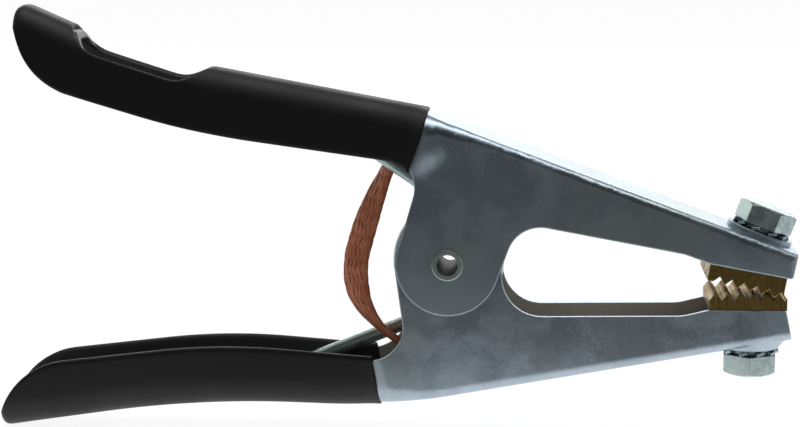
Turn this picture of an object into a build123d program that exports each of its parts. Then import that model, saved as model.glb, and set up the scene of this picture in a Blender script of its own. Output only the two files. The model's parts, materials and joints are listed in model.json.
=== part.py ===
"""Ground clamp: two pressed steel arms crossed on a tubular rivet, sprung shut on toothed brass pads.

Millimetres. The origin is the middle of the pivot, +X points to the jaws, +Z up and Y runs across
the clamp, along the rivet. The jaws are shut.
"""

from build123d import *

import os
from dataclasses import dataclass
from math import cos, floor, radians, sin, sqrt, tan

# ---------------------------------------------------------------- driving dimensions

# pressed steel sheet and the dipped PVC coat
STEEL = 1.6                     # sheet thickness of both arms
COAT = 1.1                      # PVC on every face of the handles
SIDE_GAP = 0.2                  # between an outer ear and the inner ear beside it

# widths over the steel
LOWER_BODY_WIDTH = 24.8
HANDLE_WIDTH = 21.6
BODY_BEND = 3.4                 # outside bend radius of the body, web to side plate
HANDLE_BEND = 7.0               # the handles are bent round to sit in the hand
FLARE_LENGTH = 8.0              # over which a handle widens to its body
BEND_RUNOUT = 14.0              # over which the round handle bend tightens to the body bend

# side view, upper arm
UPPER_REACH = 108.3             # pivot to the jaw end of the web
UPPER_WEB_HEIGHT = 43.9         # web line straight above the pivot
UPPER_WEB_FALL = 20.2           # degrees that the web falls towards the jaws
UPPER_HANDLE_START = -8.0       # where the handle line meets the web line
UPPER_HANDLE_RISE = 10.5        # degrees that the handle rises away from the body
UPPER_HANDLE_TURN = -98.6       # where the handle turns up towards its tip
UPPER_TIP_RISE = 22.7           # degrees that the handle rises near its tip
UPPER_TURN = 230.0              # radius of that turn
UPPER_KINK = 20.0               # radius between handle and body
UPPER_TIP = -135.6
UPPER_RIM_DEPTH = 17.6          # handle web line to rim
UPPER_RIM_FALL = 7.8            # degrees that the rim falls behind the ear
UPPER_RIM_AT = -61.5            # where the rim has its depth
UPPER_REAR_RIM_FALL = 16.5      # degrees that the rim falls further back
UPPER_REAR_RIM_AT = -86.4
UPPER_RIM_TURN = 250.0          # radius between the two
UPPER_TIP_SLANT = 284.7         # heading of the edge under the tip
UPPER_TIP_SLANT_Z = 66.8        # height at which that edge is UPPER_TIP_INSET from the tip
UPPER_TIP_INSET = 3.4
UPPER_TIP_ROUND = 20.8
UPPER_EAR = 16.1                # ear radius about the pivot
UPPER_BACK_HEADING = 254.0      # back edge, from the handle's rim down to the ear
UPPER_BACK_ROUND = 9.5
UPPER_THROAT_HEADING = 70.0     # rear edge of the throat, from the ear up
UPPER_THROAT_ROUND = 10.5
UPPER_JAW_EDGE_X = 44.0         # a point on the throat's long edge
UPPER_JAW_EDGE_Z = 9.4
UPPER_JAW_SLANT = 77.0          # heading of the jaw end
UPPER_JAW_SLANT_Z = 0.5
UPPER_JAW_INSET = 1.0
UPPER_GRIP_END = -6.2           # where the coat ends on the web line

# side view, lower arm
LOWER_WEB_DEPTH = 42.7          # web line straight below the pivot
LOWER_WEB_RISE = 10.35          # degrees that the web rises towards the jaws
LOWER_HANDLE_START = -20.5
LOWER_HANDLE_RISE = 1.5
LOWER_HANDLE_TURN = -79.0       # where the handle turns down towards its tip
LOWER_TIP_FALL = 8.5
LOWER_TURN = 350.0
LOWER_KINK = 180.0
LOWER_TIP = -143.0
LOWER_RIM_DEPTH = 16.6
LOWER_RIM_RISE = 4.2            # degrees that the rim rises towards the tip
LOWER_RIM_AT = -60.0
LOWER_REAR_RIM_FALL = 6.9       # degrees that the rim falls further back
LOWER_REAR_RIM_AT = -118.0
LOWER_REAR_RIM_DEPTH = 17.3     # tip line to rim there
LOWER_RIM_TURN = 200.0
LOWER_TIP_SLANT = 255.0
LOWER_TIP_SLANT_Z = -49.5
LOWER_TIP_INSET = 0.3
LOWER_TIP_ROUND = 22.8
LOWER_EAR = 16.6
LOWER_BACK_HEADING = 278.0
LOWER_BACK_ROUND = 11.0
LOWER_THROAT_HEADING = 94.0
LOWER_THROAT_ROUND = 12.5
LOWER_THROAT_FLOOR_X = 35.1     # a point on the throat's floor
LOWER_THROAT_FLOOR_Z = -16.3
LOWER_THROAT_FLOOR_HEADING = 180.9
LOWER_JAW_SLANT = 102.0
LOWER_JAW_SLANT_Z = -22.0
LOWER_GRIP_END = -21.0

# cable window in the top of the upper handle: a point and the heading of each of its edges
WINDOW_REAR = (-115.6, 69.7, 298.0)
WINDOW_SILL = (-105.7, 61.55, -17.8)
WINDOW_FRONT = (-77.9, 57.4, 22.8)
WINDOW_ROUND = 10.2

# jaws
JAW_MARGIN = 3.2                # jaw end of the upper web to the front of the pads
LOWER_JAW_MARGIN = 1.5
LOWER_JAW_SWELL = 1.8           # the slanted lower jaw end reaches this much further at its foot
JAW_CORNER_ROUND = 3.0          # the jaw ends are rounded in plan
JAW_EDGE_ROUND = 0.8            # corner between jaw end and pad seat
JOGGLE_LENGTH = 8.0             # the edge steps to the pad seat over this length
JOGGLE_ROUND = 12.0
SEAT_ROUND = 8.0
PAD_LENGTH = 24.0
PAD_BASE = 3.1                  # pad thickness under the tooth roots
TOOTH_PITCH = 3.9
TOOTH_HEIGHT = 2.0
CROSS_GROOVES = 7               # grooves along the pad that cut the teeth into pyramids
CROSS_GROOVE_DEPTH = 1.1
TOOTH_LAND = 0.5                # flat crest of a tooth
GROOVE_SHARE = 0.72             # part of the pad's width that the cross grooves take
UPPER_PAD_WEDGE = 4.0           # degrees that the upper teeth fall more than their seat
UPPER_TOOTH_PHASE = 0.95        # place of the rearmost tooth gap, in pitches from the pad's rear
LOWER_TOOTH_PHASE = 0.0
PAD_SIDE_GAP = 0.3              # side of the arm to the side of its pad
BOSS_RADIUS = 7.5               # boss of a pad, inside its arm
UPPER_SEAT_HEIGHT = 1.2         # rear end of the upper pad seat above the pivot
UPPER_SEAT_FALL = 10.35
LOWER_SEAT_DEPTH = 13.7
UPPER_BOLT_BACK = 11.3          # bolt axis on the web, back from the jaw end
LOWER_BOLT_BACK = 11.6
DISH_DEPTH = 27.4               # underside of the lower bolt seat, below the pivot
DISH_RADIUS = 9.0
DISH_DRAFT = 38.0               # degrees, half angle of the dish's wall
DISH_MARGIN = 0.3               # widest part of the dish to the arm's side

# pivot
RIVET_BORE = 3.3
RIVET_WALL = 0.7
RIVET_FLANGE = 4.9              # radius of the rolled ends
RIVET_FLANGE_THICKNESS = 0.8
RIVET_ROLL = 0.36               # rounding of the rolled ends
RUNNING_FIT = 0.06              # radial, rivet in the moving ears
END_PLAY = 0.1                  # rolled end to ear
SPACER_WALL = 2.0

# torsion spring
WIRE = 4.6
COIL_RADIUS = 15.2              # to the middle of the wire
COIL_GAP = 0.06                 # least gap between turns
UPPER_LEG_ANGLE = 145.2         # direction of each leg away from the coil, degrees from +X
LOWER_LEG_ANGLE = 202.2
LEG_CLEARANCE = 0.3             # leg to the coat beside it
BEND_SWELL = 0.05               # the wire swells this much where a leg is bent off the coil
LEG_END_TRIM = 0.13             # each leg stops this many wires short at both ends

# M10 hardware
THREAD = 10.0
THREAD_ALLOWANCE = 0.05         # radial, bolt in the tapped boss
THREAD_CHAMFER = 0.9
BOLT_HOLE = 10.8
WASHER_HOLE = 10.4
ACROSS_FLATS = 16.0
HEAD_HEIGHT = 6.4
HEAD_CHAMFER_SHARE = 0.95       # flat circle on the head, in across-flats
HEAD_CHAMFER_ANGLE = 30.0
UPPER_ENGAGEMENT = 6.0
LOWER_ENGAGEMENT = 9.0
TAP_RUN = 1.0                   # a tapped hole runs on past the end of its bolt
UPPER_HEAD_TURN = 11.0
LOWER_HEAD_TURN = 25.0
FLAT_WASHER_DIAMETER = 21.0
FLAT_WASHER_THICKNESS = 1.6
LOCK_WASHER_DIAMETER = 18.0
LOCK_WASHER_SHEET = 0.9
LOCK_WASHER_TEETH = 10
LOCK_TOOTH_WIDTH = 2.6
LOCK_TOOTH_TWIST = 20.0
LOCK_TOOTH_LENGTH = 3.0
LOCK_TOOTH_ROOT = 0.6           # how far a tooth runs into the ring

# copper link
LUG_THICKNESS = 2.0
LUG_TAIL_WIDTH = 11.0
LUG_TAIL_LIFT = 0.9             # the tail is joggled clear of the web
LUG_BARREL_HEIGHT = 5.6
LUG_BARREL_LENGTH = 12.0
LUG_NECK = 8.2                  # bolt axis to the barrel
LUG_BARREL_ROUND = 2.35
BRAID_DIAMETER = 5.2            # of the round bundle that stands for the flat weave
BRAID_SIDE_STEP = 1.9           # it passes each spring leg on the free side
UPPER_BRAID_LEAD = 22.0         # straight run out of the upper lug
LOWER_BRAID_LEAD = 14.0
BRAID_ROUND = 0.45              # part of each run that its bends may use
BRAID_LARGEST_BEND = 400.0

NOSE_SHARE = 0.8                # radius of a handle's nose in plan, in handle widths

CLEAR = 6.0                     # how far a cutter runs past the sheet
TALL = 200.0                    # taller and longer than either arm reaches from the pivot


# ---------------------------------------------------------------- drawing in the side view


@dataclass
class Edge2:
    """A straight edge of a side outline: a point on it and its heading in degrees.

    Outlines run with the metal on the left, so growing an outline moves its edges to the right.
    """

    x: float
    z: float
    heading: float

    def moved(self, distance):
        angle = radians(self.heading)
        return Edge2(self.x + distance * sin(angle), self.z - distance * cos(angle), self.heading)

    def height(self, x):
        return self.z + (x - self.x) * tan(radians(self.heading))


def meet(first, second):
    """Where two edges cross, as (x, z)."""
    a, b = radians(first.heading), radians(second.heading)
    along = ((second.x - first.x) * sin(b) - (second.z - first.z) * cos(b)) / sin(b - a)
    return first.x + along * cos(a), first.z + along * sin(a)


def on_circle(radius, angle):
    return radius * cos(radians(angle)), radius * sin(radians(angle))


def tangent_edge(radius, heading):
    """The edge that leaves a circle about the pivot with this heading, anticlockwise."""
    x, z = on_circle(radius, heading - 90)
    return Edge2(x, z, heading)


def side_face(corners):
    """A face in the side view from corners given as (x, z, fillet radius)."""
    points = [(x, 0, z) for x, z, _ in corners]
    return make_face(FilletPolyline(*points, radius=[r for _, _, r in corners], close=True))


def across(face, half_width):
    """A side face carried across the clamp to both sides of the middle."""
    return extrude(face, amount=half_width, dir=(0, 1, 0), both=True)


# ---------------------------------------------------------------- pressed channels


@dataclass
class Channel:
    """A pressed arm before it is trimmed: a web line with a narrow handle and a wider body.

    Its sections all stand square to the body's web, so a short sharp turn never folds them.
    """

    lines: tuple                # tip line, handle line and web line, all heading to +X
    turns: tuple                # radii between them
    tip: float
    reach: float
    up: int                     # +1 when the web is on top, -1 when it is underneath
    body_width: float
    flare_x: float              # middle of the flare from handle to body

    def web_wire(self, grow):
        """The web's outer line moved out by grow, from beyond the tip to beyond the jaw end."""
        tip_line, handle, web = [line.moved(-self.up * grow) for line in self.lines]
        rear, front = self.tip - 2 * CLEAR, self.reach + CLEAR
        points = [
            (rear, tip_line.height(rear)),
            meet(tip_line, handle),
            meet(handle, web),
            (front, web.height(front)),
        ]
        radii = [self.turns[0] - grow, self.turns[1] + grow]
        return FilletPolyline(*[(x, 0, z) for x, z in points], radius=radii)

    def station(self, point):
        """Distance of a point along the body's web, from the pivot."""
        heading = radians(self.lines[2].heading)
        return point.X * cos(heading) + point.Z * sin(heading)

    def plane_at(self, station, wire):
        """Plane square to the body's web on a wire; local y points out of the web."""
        low, high = 0.0, 1.0
        for _ in range(40):
            middle = (low + high) / 2
            if self.station(wire @ middle) < station:
                low = middle
            else:
                high = middle
        heading = radians(self.lines[2].heading)
        return Plane(
            origin=wire @ low, x_dir=(0, self.up, 0), z_dir=(cos(heading), 0, sin(heading))
        )

    def flare_station(self):
        web = self.lines[2]
        return self.station(Vector(self.flare_x, 0, web.height(self.flare_x)))

    def form(self, station):
        """Half width and outside bend radius of the steel at a station."""
        along = station - self.flare_station() + FLARE_LENGTH / 2
        t = min(max(along / FLARE_LENGTH, 0), 1)
        narrow, wide = HANDLE_WIDTH / 2, self.body_width / 2
        tightening = min(max(along / (FLARE_LENGTH + BEND_RUNOUT), 0), 1)
        return (
            narrow + (wide - narrow) * t * t * (3 - 2 * t),
            HANDLE_BEND + (BODY_BEND - HANDLE_BEND) * tightening,
        )

    def core(self, grow, depth):
        """The channel as a filled bar, every side moved out by grow."""
        wire = self.web_wire(grow)
        tip_line, arc, handle_line, kink, body_line = self.web_wire(0).edges()
        flare_start = self.flare_station() - FLARE_LENGTH / 2
        runout_end = flare_start + FLARE_LENGTH + BEND_RUNOUT
        bend_start = min(self.station(kink @ 0), flare_start)
        stations = [
            (self.station(wire @ 0), 1),
            (self.station(arc @ 0), 4),
            (self.station(arc @ 1), 1),
            (bend_start, 3 if flare_start - bend_start > 1 else 0),
            (flare_start, 6),
            (flare_start + FLARE_LENGTH, 4),
            (max(runout_end, self.station(kink @ 1)), 1),
            (self.station(wire @ 1), 0),
        ]
        bar = []
        for (start, parts), (end, _) in zip(stations, stations[1:]):
            if parts:
                cuts = [start + (end - start) * k / parts for k in range(parts + 1)]
                sections = [self.section(cut, wire, depth, grow) for cut in cuts]
                bar.append(loft(sections, ruled=parts == 1))
        return bar[0].fuse(*bar[1:])

    def section(self, station, wire, depth, grow):
        """A filled U across the channel, open downwards, every side moved out by grow."""
        half_width, bend = self.form(station)
        half = half_width + grow
        corners = [(-half, -depth), (-half, 0), (half, 0), (half, -depth)]
        radii = [0, bend + grow, bend + grow, 0]
        face = make_face(FilletPolyline(*corners, radius=radii, close=True))
        return self.plane_at(station, wire) * face


def nose(tip, grow):
    """Plan outline of a handle's rounded nose, as a tall block that the arm is cut to."""
    radius = NOSE_SHARE * HANDLE_WIDTH + grow
    length = UPPER_REACH - tip + CLEAR
    plan = Circle(radius) + Pos(length / 2, 0) * Rectangle(length, 2 * radius)
    return Pos(tip - grow + radius, 0, 0) * extrude(plan, amount=TALL, both=True)


def jaw_corners(reach, width):
    """Tall cutters that round the two corners of a jaw end in plan."""
    side = JAW_CORNER_ROUND + CLEAR
    corner = Pos(side / 2, side / 2) * Rectangle(side, side) - Circle(JAW_CORNER_ROUND)
    corner = Pos(reach - JAW_CORNER_ROUND, width / 2 - JAW_CORNER_ROUND) * corner
    return [
        extrude(corner, amount=TALL, both=True),
        extrude(mirror(corner, about=Plane.XZ), amount=TALL, both=True),
    ]


# ---------------------------------------------------------------- lines of the two arms

UPPER_BODY_WIDTH = LOWER_BODY_WIDTH + 2 * (SIDE_GAP + STEEL)
PAD_REAR = UPPER_REACH - JAW_MARGIN - PAD_LENGTH
LOWER_REACH = PAD_REAR + PAD_LENGTH + LOWER_JAW_MARGIN
EAR_HOLE = RIVET_BORE + RIVET_WALL + RUNNING_FIT

upper_web = Edge2(0, UPPER_WEB_HEIGHT, -UPPER_WEB_FALL)
upper_handle = Edge2(
    UPPER_HANDLE_START, upper_web.height(UPPER_HANDLE_START), -UPPER_HANDLE_RISE
)
upper_tip_line = Edge2(
    UPPER_HANDLE_TURN, upper_handle.height(UPPER_HANDLE_TURN), -UPPER_TIP_RISE
)
upper_seat = Edge2(PAD_REAR, UPPER_SEAT_HEIGHT, -UPPER_SEAT_FALL)

lower_web = Edge2(0, -LOWER_WEB_DEPTH, LOWER_WEB_RISE)
lower_handle = Edge2(
    LOWER_HANDLE_START, lower_web.height(LOWER_HANDLE_START), -LOWER_HANDLE_RISE
)
lower_tip_line = Edge2(
    LOWER_HANDLE_TURN, lower_handle.height(LOWER_HANDLE_TURN), LOWER_TIP_FALL
)
lower_seat = Edge2(PAD_REAR, -LOWER_SEAT_DEPTH, 180)


upper_channel = Channel(
    (upper_tip_line, upper_handle, upper_web), (UPPER_TURN, UPPER_KINK), UPPER_TIP,
    UPPER_REACH, 1, UPPER_BODY_WIDTH, UPPER_GRIP_END,
)
lower_channel = Channel(
    (lower_tip_line, lower_handle, lower_web), (LOWER_TURN, LOWER_KINK), LOWER_TIP,
    LOWER_REACH, -1, LOWER_BODY_WIDTH, LOWER_GRIP_END,
)


def bolt_frame(x, z, lean, outward):
    """Frame of a jaw bolt: origin on the web's outer face, z out along the bolt."""
    out = (outward * sin(radians(lean)), 0, outward * cos(radians(lean)))
    rearward = (-cos(radians(lean)), 0, sin(radians(lean)))
    return Plane(origin=(x, 0, z), x_dir=rearward, z_dir=out)


UPPER_BOLT_X = UPPER_REACH - UPPER_BOLT_BACK
LOWER_BOLT_X = LOWER_REACH - LOWER_BOLT_BACK
upper_bolt = bolt_frame(UPPER_BOLT_X, upper_web.height(UPPER_BOLT_X), UPPER_WEB_FALL, 1)
lower_bolt = bolt_frame(LOWER_BOLT_X, -DISH_DEPTH, 0, -1)


# ---------------------------------------------------------------- arms


def upper_outline(grow=0.0):
    """Side outline of the upper arm below its web; grow moves the handle's edges out."""
    rear_rim_z = upper_handle.height(UPPER_REAR_RIM_AT) - UPPER_RIM_DEPTH
    rim_z = upper_handle.height(UPPER_RIM_AT) - UPPER_RIM_DEPTH
    jaw_end = Edge2(UPPER_REACH - UPPER_JAW_INSET, UPPER_JAW_SLANT_Z, UPPER_JAW_SLANT)
    top = Edge2(0, TALL / 2, 180)
    tip = Edge2(UPPER_TIP + UPPER_TIP_INSET, UPPER_TIP_SLANT_Z, UPPER_TIP_SLANT).moved(grow)
    rear_rim = Edge2(UPPER_REAR_RIM_AT, rear_rim_z, -UPPER_REAR_RIM_FALL).moved(grow)
    rim = Edge2(UPPER_RIM_AT, rim_z, -UPPER_RIM_FALL).moved(grow)
    back = tangent_edge(UPPER_EAR + grow, UPPER_BACK_HEADING)
    throat = tangent_edge(UPPER_EAR, UPPER_THROAT_HEADING)
    jaw_edge = Edge2(UPPER_JAW_EDGE_X, UPPER_JAW_EDGE_Z, -UPPER_SEAT_FALL)
    joggle = PAD_REAR - JOGGLE_LENGTH
    corners = [
        (*meet(upper_seat, jaw_end), JAW_EDGE_ROUND),
        (*meet(jaw_end, top), 0),
        (*meet(top, tip), 0),
        (*meet(tip, rear_rim), UPPER_TIP_ROUND + grow),
        (*meet(rear_rim, rim), UPPER_RIM_TURN + grow),
        (*meet(rim, back), UPPER_BACK_ROUND - grow),
        (back.x, back.z, 0),
        (0, 0, 0),
        (throat.x, throat.z, 0),
        (*meet(throat, jaw_edge), UPPER_THROAT_ROUND),
        (joggle, jaw_edge.height(joggle), JOGGLE_ROUND),
        (upper_seat.x, upper_seat.z, SEAT_ROUND),
    ]
    return side_face(corners) + Plane.XZ * Circle(UPPER_EAR + grow)


def lower_outline(grow=0.0):
    """Side outline of the lower arm above its web; grow moves the handle's edges out."""
    rim_z = lower_handle.height(LOWER_RIM_AT) + LOWER_RIM_DEPTH
    rear_rim_z = lower_tip_line.height(LOWER_REAR_RIM_AT) + LOWER_REAR_RIM_DEPTH
    bottom = Edge2(0, -TALL / 2, 0)
    jaw_end = Edge2(LOWER_REACH, LOWER_JAW_SLANT_Z, LOWER_JAW_SLANT)
    throat_floor = Edge2(
        LOWER_THROAT_FLOOR_X, LOWER_THROAT_FLOOR_Z, LOWER_THROAT_FLOOR_HEADING
    )
    throat = tangent_edge(LOWER_EAR, LOWER_THROAT_HEADING)
    back = tangent_edge(LOWER_EAR + grow, LOWER_BACK_HEADING)
    rim = Edge2(LOWER_RIM_AT, rim_z, 180 - LOWER_RIM_RISE).moved(grow)
    rear_rim = Edge2(LOWER_REAR_RIM_AT, rear_rim_z, 180 + LOWER_REAR_RIM_FALL).moved(grow)
    tip = Edge2(LOWER_TIP + LOWER_TIP_INSET, LOWER_TIP_SLANT_Z, LOWER_TIP_SLANT).moved(grow)
    joggle = PAD_REAR - JOGGLE_LENGTH
    corners = [
        (*meet(bottom, jaw_end), 0),
        (*meet(jaw_end, lower_seat), JAW_EDGE_ROUND),
        (lower_seat.x, lower_seat.z, SEAT_ROUND),
        (joggle, throat_floor.height(joggle), JOGGLE_ROUND),
        (*meet(throat_floor, throat), LOWER_THROAT_ROUND),
        (throat.x, throat.z, 0),
        (0, 0, 0),
        (back.x, back.z, 0),
        (*meet(back, rim), LOWER_BACK_ROUND - grow),
        (*meet(rim, rear_rim), LOWER_RIM_TURN + grow),
        (*meet(rear_rim, tip), LOWER_TIP_ROUND + grow),
        (*meet(tip, bottom), 0),
    ]
    return side_face(corners) + Plane.XZ * Circle(LOWER_EAR + grow)


def window_outline(shrink=0.0):
    """Side outline of the cable window cut across the top of the upper handle."""
    rear = Edge2(*WINDOW_REAR).moved(-shrink)
    sill = Edge2(*WINDOW_SILL).moved(-shrink)
    front = Edge2(*WINDOW_FRONT).moved(-shrink)
    roof = Edge2(0, TALL / 2, 180)
    return side_face([
        (*meet(roof, rear), 0),
        (*meet(rear, sill), WINDOW_ROUND - shrink),
        (*meet(sill, front), WINDOW_ROUND - shrink),
        (*meet(front, roof), 0),
    ])


def drill(frame, radius, length):
    """A round cutter centred on a frame's origin, along its z."""
    return frame * Cylinder(radius, 2 * length)


def pivot_hole():
    return Plane.XZ * Cylinder(EAR_HOLE, 2 * UPPER_BODY_WIDTH)


def dish(grow):
    """The pressed bolt seat of the lower web as a cone with its small end on the head's side."""
    slope = tan(radians(DISH_DRAFT))
    small = DISH_RADIUS + grow / cos(radians(DISH_DRAFT)) - grow * slope
    large = LOWER_BODY_WIDTH / 2 + grow - DISH_MARGIN
    height = (large - small) / slope
    top = height + CLEAR
    profile = [(0, 0), (small, 0), (large, height), (large, top), (0, top)]
    section = Plane.XZ * make_face(Polyline(*profile, close=True))
    cone = revolve(section, Axis.Z)
    return Pos(LOWER_BOLT_X, 0, -DISH_DEPTH - grow) * cone


def make_upper_arm():
    shell = upper_channel.core(0, 75) - upper_channel.core(-STEEL, 90)
    arm = shell & across(upper_outline(), UPPER_BODY_WIDTH)
    arm &= nose(UPPER_TIP, 0)
    arm -= jaw_corners(UPPER_REACH, UPPER_BODY_WIDTH)
    arm -= across(window_outline(), UPPER_BODY_WIDTH)
    arm -= pivot_hole()
    return arm - drill(upper_bolt, BOLT_HOLE / 2, STEEL + 1)


def make_lower_arm():
    outside = lower_channel.core(0, 75) + dish(0)
    inside = lower_channel.core(-STEEL, 90) + dish(-STEEL)
    arm = (outside - inside) & across(lower_outline(), LOWER_BODY_WIDTH)
    arm &= nose(LOWER_TIP, 0)
    arm -= jaw_corners(LOWER_REACH + LOWER_JAW_SWELL, LOWER_BODY_WIDTH)
    arm -= pivot_hole()
    return arm - drill(lower_bolt, BOLT_HOLE / 2, STEEL + 1)


# ---------------------------------------------------------------- dipped grips


def behind(channel):
    """Everything on the handle's side of the middle of the flare."""
    plane = channel.plane_at(channel.flare_station(), channel.web_wire(0))
    return plane * Pos(0, 0, -100) * Box(100, 160, 200)


def make_grip(channel, outline, tip, arm):
    """The PVC coat: the handle grown all round, less the steel inside it."""
    coat = channel.core(COAT, 40) - channel.core(-STEEL - COAT, 60)
    coat &= across(outline(COAT), HANDLE_WIDTH)
    coat &= nose(tip, COAT)
    coat &= behind(channel)
    return coat - arm


def make_upper_grip(arm):
    grip = make_grip(upper_channel, upper_outline, UPPER_TIP, arm)
    return grip - across(window_outline(COAT), UPPER_BODY_WIDTH)


def make_lower_grip(arm):
    return make_grip(lower_channel, lower_outline, LOWER_TIP, arm)


# ---------------------------------------------------------------- pivot


def make_rivet():
    """Tubular rivet with rolled ends, clenched over the outer ears."""
    shank = RIVET_BORE + RIVET_WALL
    ear = UPPER_BODY_WIDTH / 2 + END_PLAY
    end = ear + RIVET_FLANGE_THICKNESS
    corners = [
        (RIVET_BORE, -end), (RIVET_FLANGE, -end), (RIVET_FLANGE, -ear), (shank, -ear),
        (shank, ear), (RIVET_FLANGE, ear), (RIVET_FLANGE, end), (RIVET_BORE, end),
    ]
    radii = [0, RIVET_ROLL, 0, 0, 0, 0, RIVET_ROLL, 0]
    return revolve(make_face(FilletPolyline(*corners, radius=radii, close=True)), Axis.Y)


def make_spacer():
    inner = RIVET_BORE + RIVET_WALL + RUNNING_FIT
    length = LOWER_BODY_WIDTH - 2 * STEEL
    return Plane.XZ * (Cylinder(inner + SPACER_WALL, length) - Cylinder(inner, length))


def make_spring():
    """Round wire coil about the rivet; each straight leg presses the web inside a handle."""
    side_wall = STEEL + COAT + LEG_CLEARANCE + WIRE / 2
    leg_y = HANDLE_WIDTH / 2 - side_wall
    inside = max(side_wall, HANDLE_BEND)
    upper_start = UPPER_LEG_ANGLE - 90
    lower_start = LOWER_LEG_ANGLE + 90 - 360
    part_turn = (upper_start - lower_start) / 360
    whole_turns = max(1, floor(2 * leg_y / (WIRE + COIL_GAP) - part_turn))
    pitch = 2 * leg_y / (whole_turns + part_turn)
    axis_frame = Plane.XZ.offset(-leg_y) * Rot(0, 0, lower_start)
    coil_line = axis_frame * Helix(pitch, 2 * leg_y, COIL_RADIUS)
    section = Plane(origin=coil_line @ 0, z_dir=coil_line % 0) * Circle(WIRE / 2)
    spring = sweep(section, path=coil_line, is_frenet=True)
    legs = (
        (upper_start, UPPER_LEG_ANGLE, -leg_y, upper_handle.moved(inside)),
        (lower_start, LOWER_LEG_ANGLE, leg_y, lower_handle.moved(-inside)),
    )
    for start, heading, y, stop in legs:
        x, z = on_circle(COIL_RADIUS, start)
        end_x, end_z = meet(Edge2(x, z, heading), stop)
        length = sqrt((end_x - x) ** 2 + (end_z - z) ** 2)
        direction = (cos(radians(heading)), 0, sin(radians(heading)))
        bend = Pos(x, y, z) * Sphere(WIRE / 2 + BEND_SWELL)
        leg = Plane(origin=(x, y, z), z_dir=direction) * Pos(0, 0, length / 2) * Cylinder(
            WIRE / 2, length - LEG_END_TRIM * WIRE
        )
        spring += bend + leg
    return spring


# ---------------------------------------------------------------- jaws


def toothed_block(width, phase, wedge):
    """Pad seated on the local XY plane from x = 0, teeth towards +Z, grooved both ways.

    The teeth stand on a floor that rises by the wedge angle towards the jaw end.
    """
    rise = radians(wedge)
    front_height = PAD_BASE + PAD_LENGTH * tan(rise) + TOOTH_HEIGHT / cos(rise)
    profile = [
        (0, 0), (PAD_LENGTH, 0), (PAD_LENGTH, front_height),
        (0, PAD_BASE + TOOTH_HEIGHT / cos(rise)),
    ]
    side = Plane.XZ * make_face(Polyline(*profile, close=True))
    block = extrude(side, amount=width / 2, both=True)
    half_mouth = (TOOTH_PITCH - TOOTH_LAND) / 2
    notch = make_face(
        Polyline((-half_mouth, TOOTH_HEIGHT), (0, 0), (half_mouth, TOOTH_HEIGHT), close=True)
    )
    notch_bar = extrude(Plane.XZ * notch, amount=width, both=True)
    groove_pitch = width / CROSS_GROOVES
    half_groove = groove_pitch * GROOVE_SHARE / 2
    groove_floor = TOOTH_HEIGHT - CROSS_GROOVE_DEPTH
    groove = make_face(
        Polyline((-half_groove, TOOTH_HEIGHT), (0, groove_floor), (half_groove, TOOTH_HEIGHT),
                 close=True)
    )
    groove_bar = extrude(Plane.YZ * groove, amount=2 * PAD_LENGTH, both=True)
    count = int(PAD_LENGTH / TOOTH_PITCH) + 1
    middle = (CROSS_GROOVES - 1) / 2
    cutters = [Pos((k + phase) * TOOTH_PITCH, 0, 0) * notch_bar for k in range(count)]
    cutters += [Pos(0, (k - middle) * groove_pitch, 0) * groove_bar for k in range(CROSS_GROOVES)]
    tooth_floor = Pos(0, 0, PAD_BASE) * Rot(0, -wedge, 0)
    return block - [tooth_floor * cutter for cutter in cutters]


def make_pad(seat_plane, bolt, block, reach_in):
    """A toothed block with a boss that stands on the braid lug and takes the bolt."""
    lug_face = STEEL + LUG_THICKNESS
    depth = reach_in + CLEAR
    boss = bolt * Pos(0, 0, -lug_face - PAD_LENGTH / 2) * Cylinder(BOSS_RADIUS, PAD_LENGTH)
    behind_seat = seat_plane * Pos(0, 0, -TALL / 2) * Box(TALL, TALL, TALL)
    tap = bolt * Pos(0, 0, -lug_face - reach_in - TAP_RUN + depth / 2) * Cylinder(
        THREAD / 2 + THREAD_ALLOWANCE, depth
    )
    return seat_plane * block + (boss & behind_seat) - tap


def make_upper_pad():
    fall = radians(UPPER_SEAT_FALL)
    plane = Plane(
        origin=(upper_seat.x, 0, upper_seat.z),
        x_dir=(cos(fall), 0, -sin(fall)),
        z_dir=(-sin(fall), 0, -cos(fall)),
    )
    width = UPPER_BODY_WIDTH - 2 * PAD_SIDE_GAP
    block = toothed_block(width, UPPER_TOOTH_PHASE, UPPER_PAD_WEDGE)
    return make_pad(plane, upper_bolt, block, UPPER_ENGAGEMENT)


def make_lower_pad():
    plane = Plane(origin=(lower_seat.x, 0, lower_seat.z))
    width = LOWER_BODY_WIDTH - 2 * PAD_SIDE_GAP
    block = toothed_block(width, LOWER_TOOTH_PHASE, 0)
    return make_pad(plane, lower_bolt, block, LOWER_ENGAGEMENT)


def make_bolt(frame, seat, length, turn):
    """Hexagon head bolt whose head stands on a seat this far out along its frame."""
    corner_radius = ACROSS_FLATS / sqrt(3)
    chamfer_radius = ACROSS_FLATS / 2 * HEAD_CHAMFER_SHARE
    chamfer_drop = (corner_radius - chamfer_radius) * tan(radians(HEAD_CHAMFER_ANGLE))
    rim = corner_radius + THREAD_ALLOWANCE
    hexagon = Rot(0, 0, turn) * extrude(
        RegularPolygon(ACROSS_FLATS / 2, 6, major_radius=False), amount=HEAD_HEIGHT
    )
    crown = [
        (0, 0), (rim, 0), (rim, HEAD_HEIGHT - chamfer_drop), (chamfer_radius, HEAD_HEIGHT),
        (0, HEAD_HEIGHT),
    ]
    head = hexagon & revolve(Plane.XZ * make_face(Polyline(*crown, close=True)), Axis.Z)
    shank = Pos(0, 0, -length / 2) * Cylinder(THREAD / 2, length)
    shank = chamfer(shank.edges().sort_by(Axis.Z)[0], THREAD_CHAMFER)
    return frame * Pos(0, 0, seat) * (head + shank)


def lock_washer_height():
    twist = radians(LOCK_TOOTH_TWIST)
    return LOCK_WASHER_SHEET * cos(twist) + LOCK_TOOTH_WIDTH * sin(twist)


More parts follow.
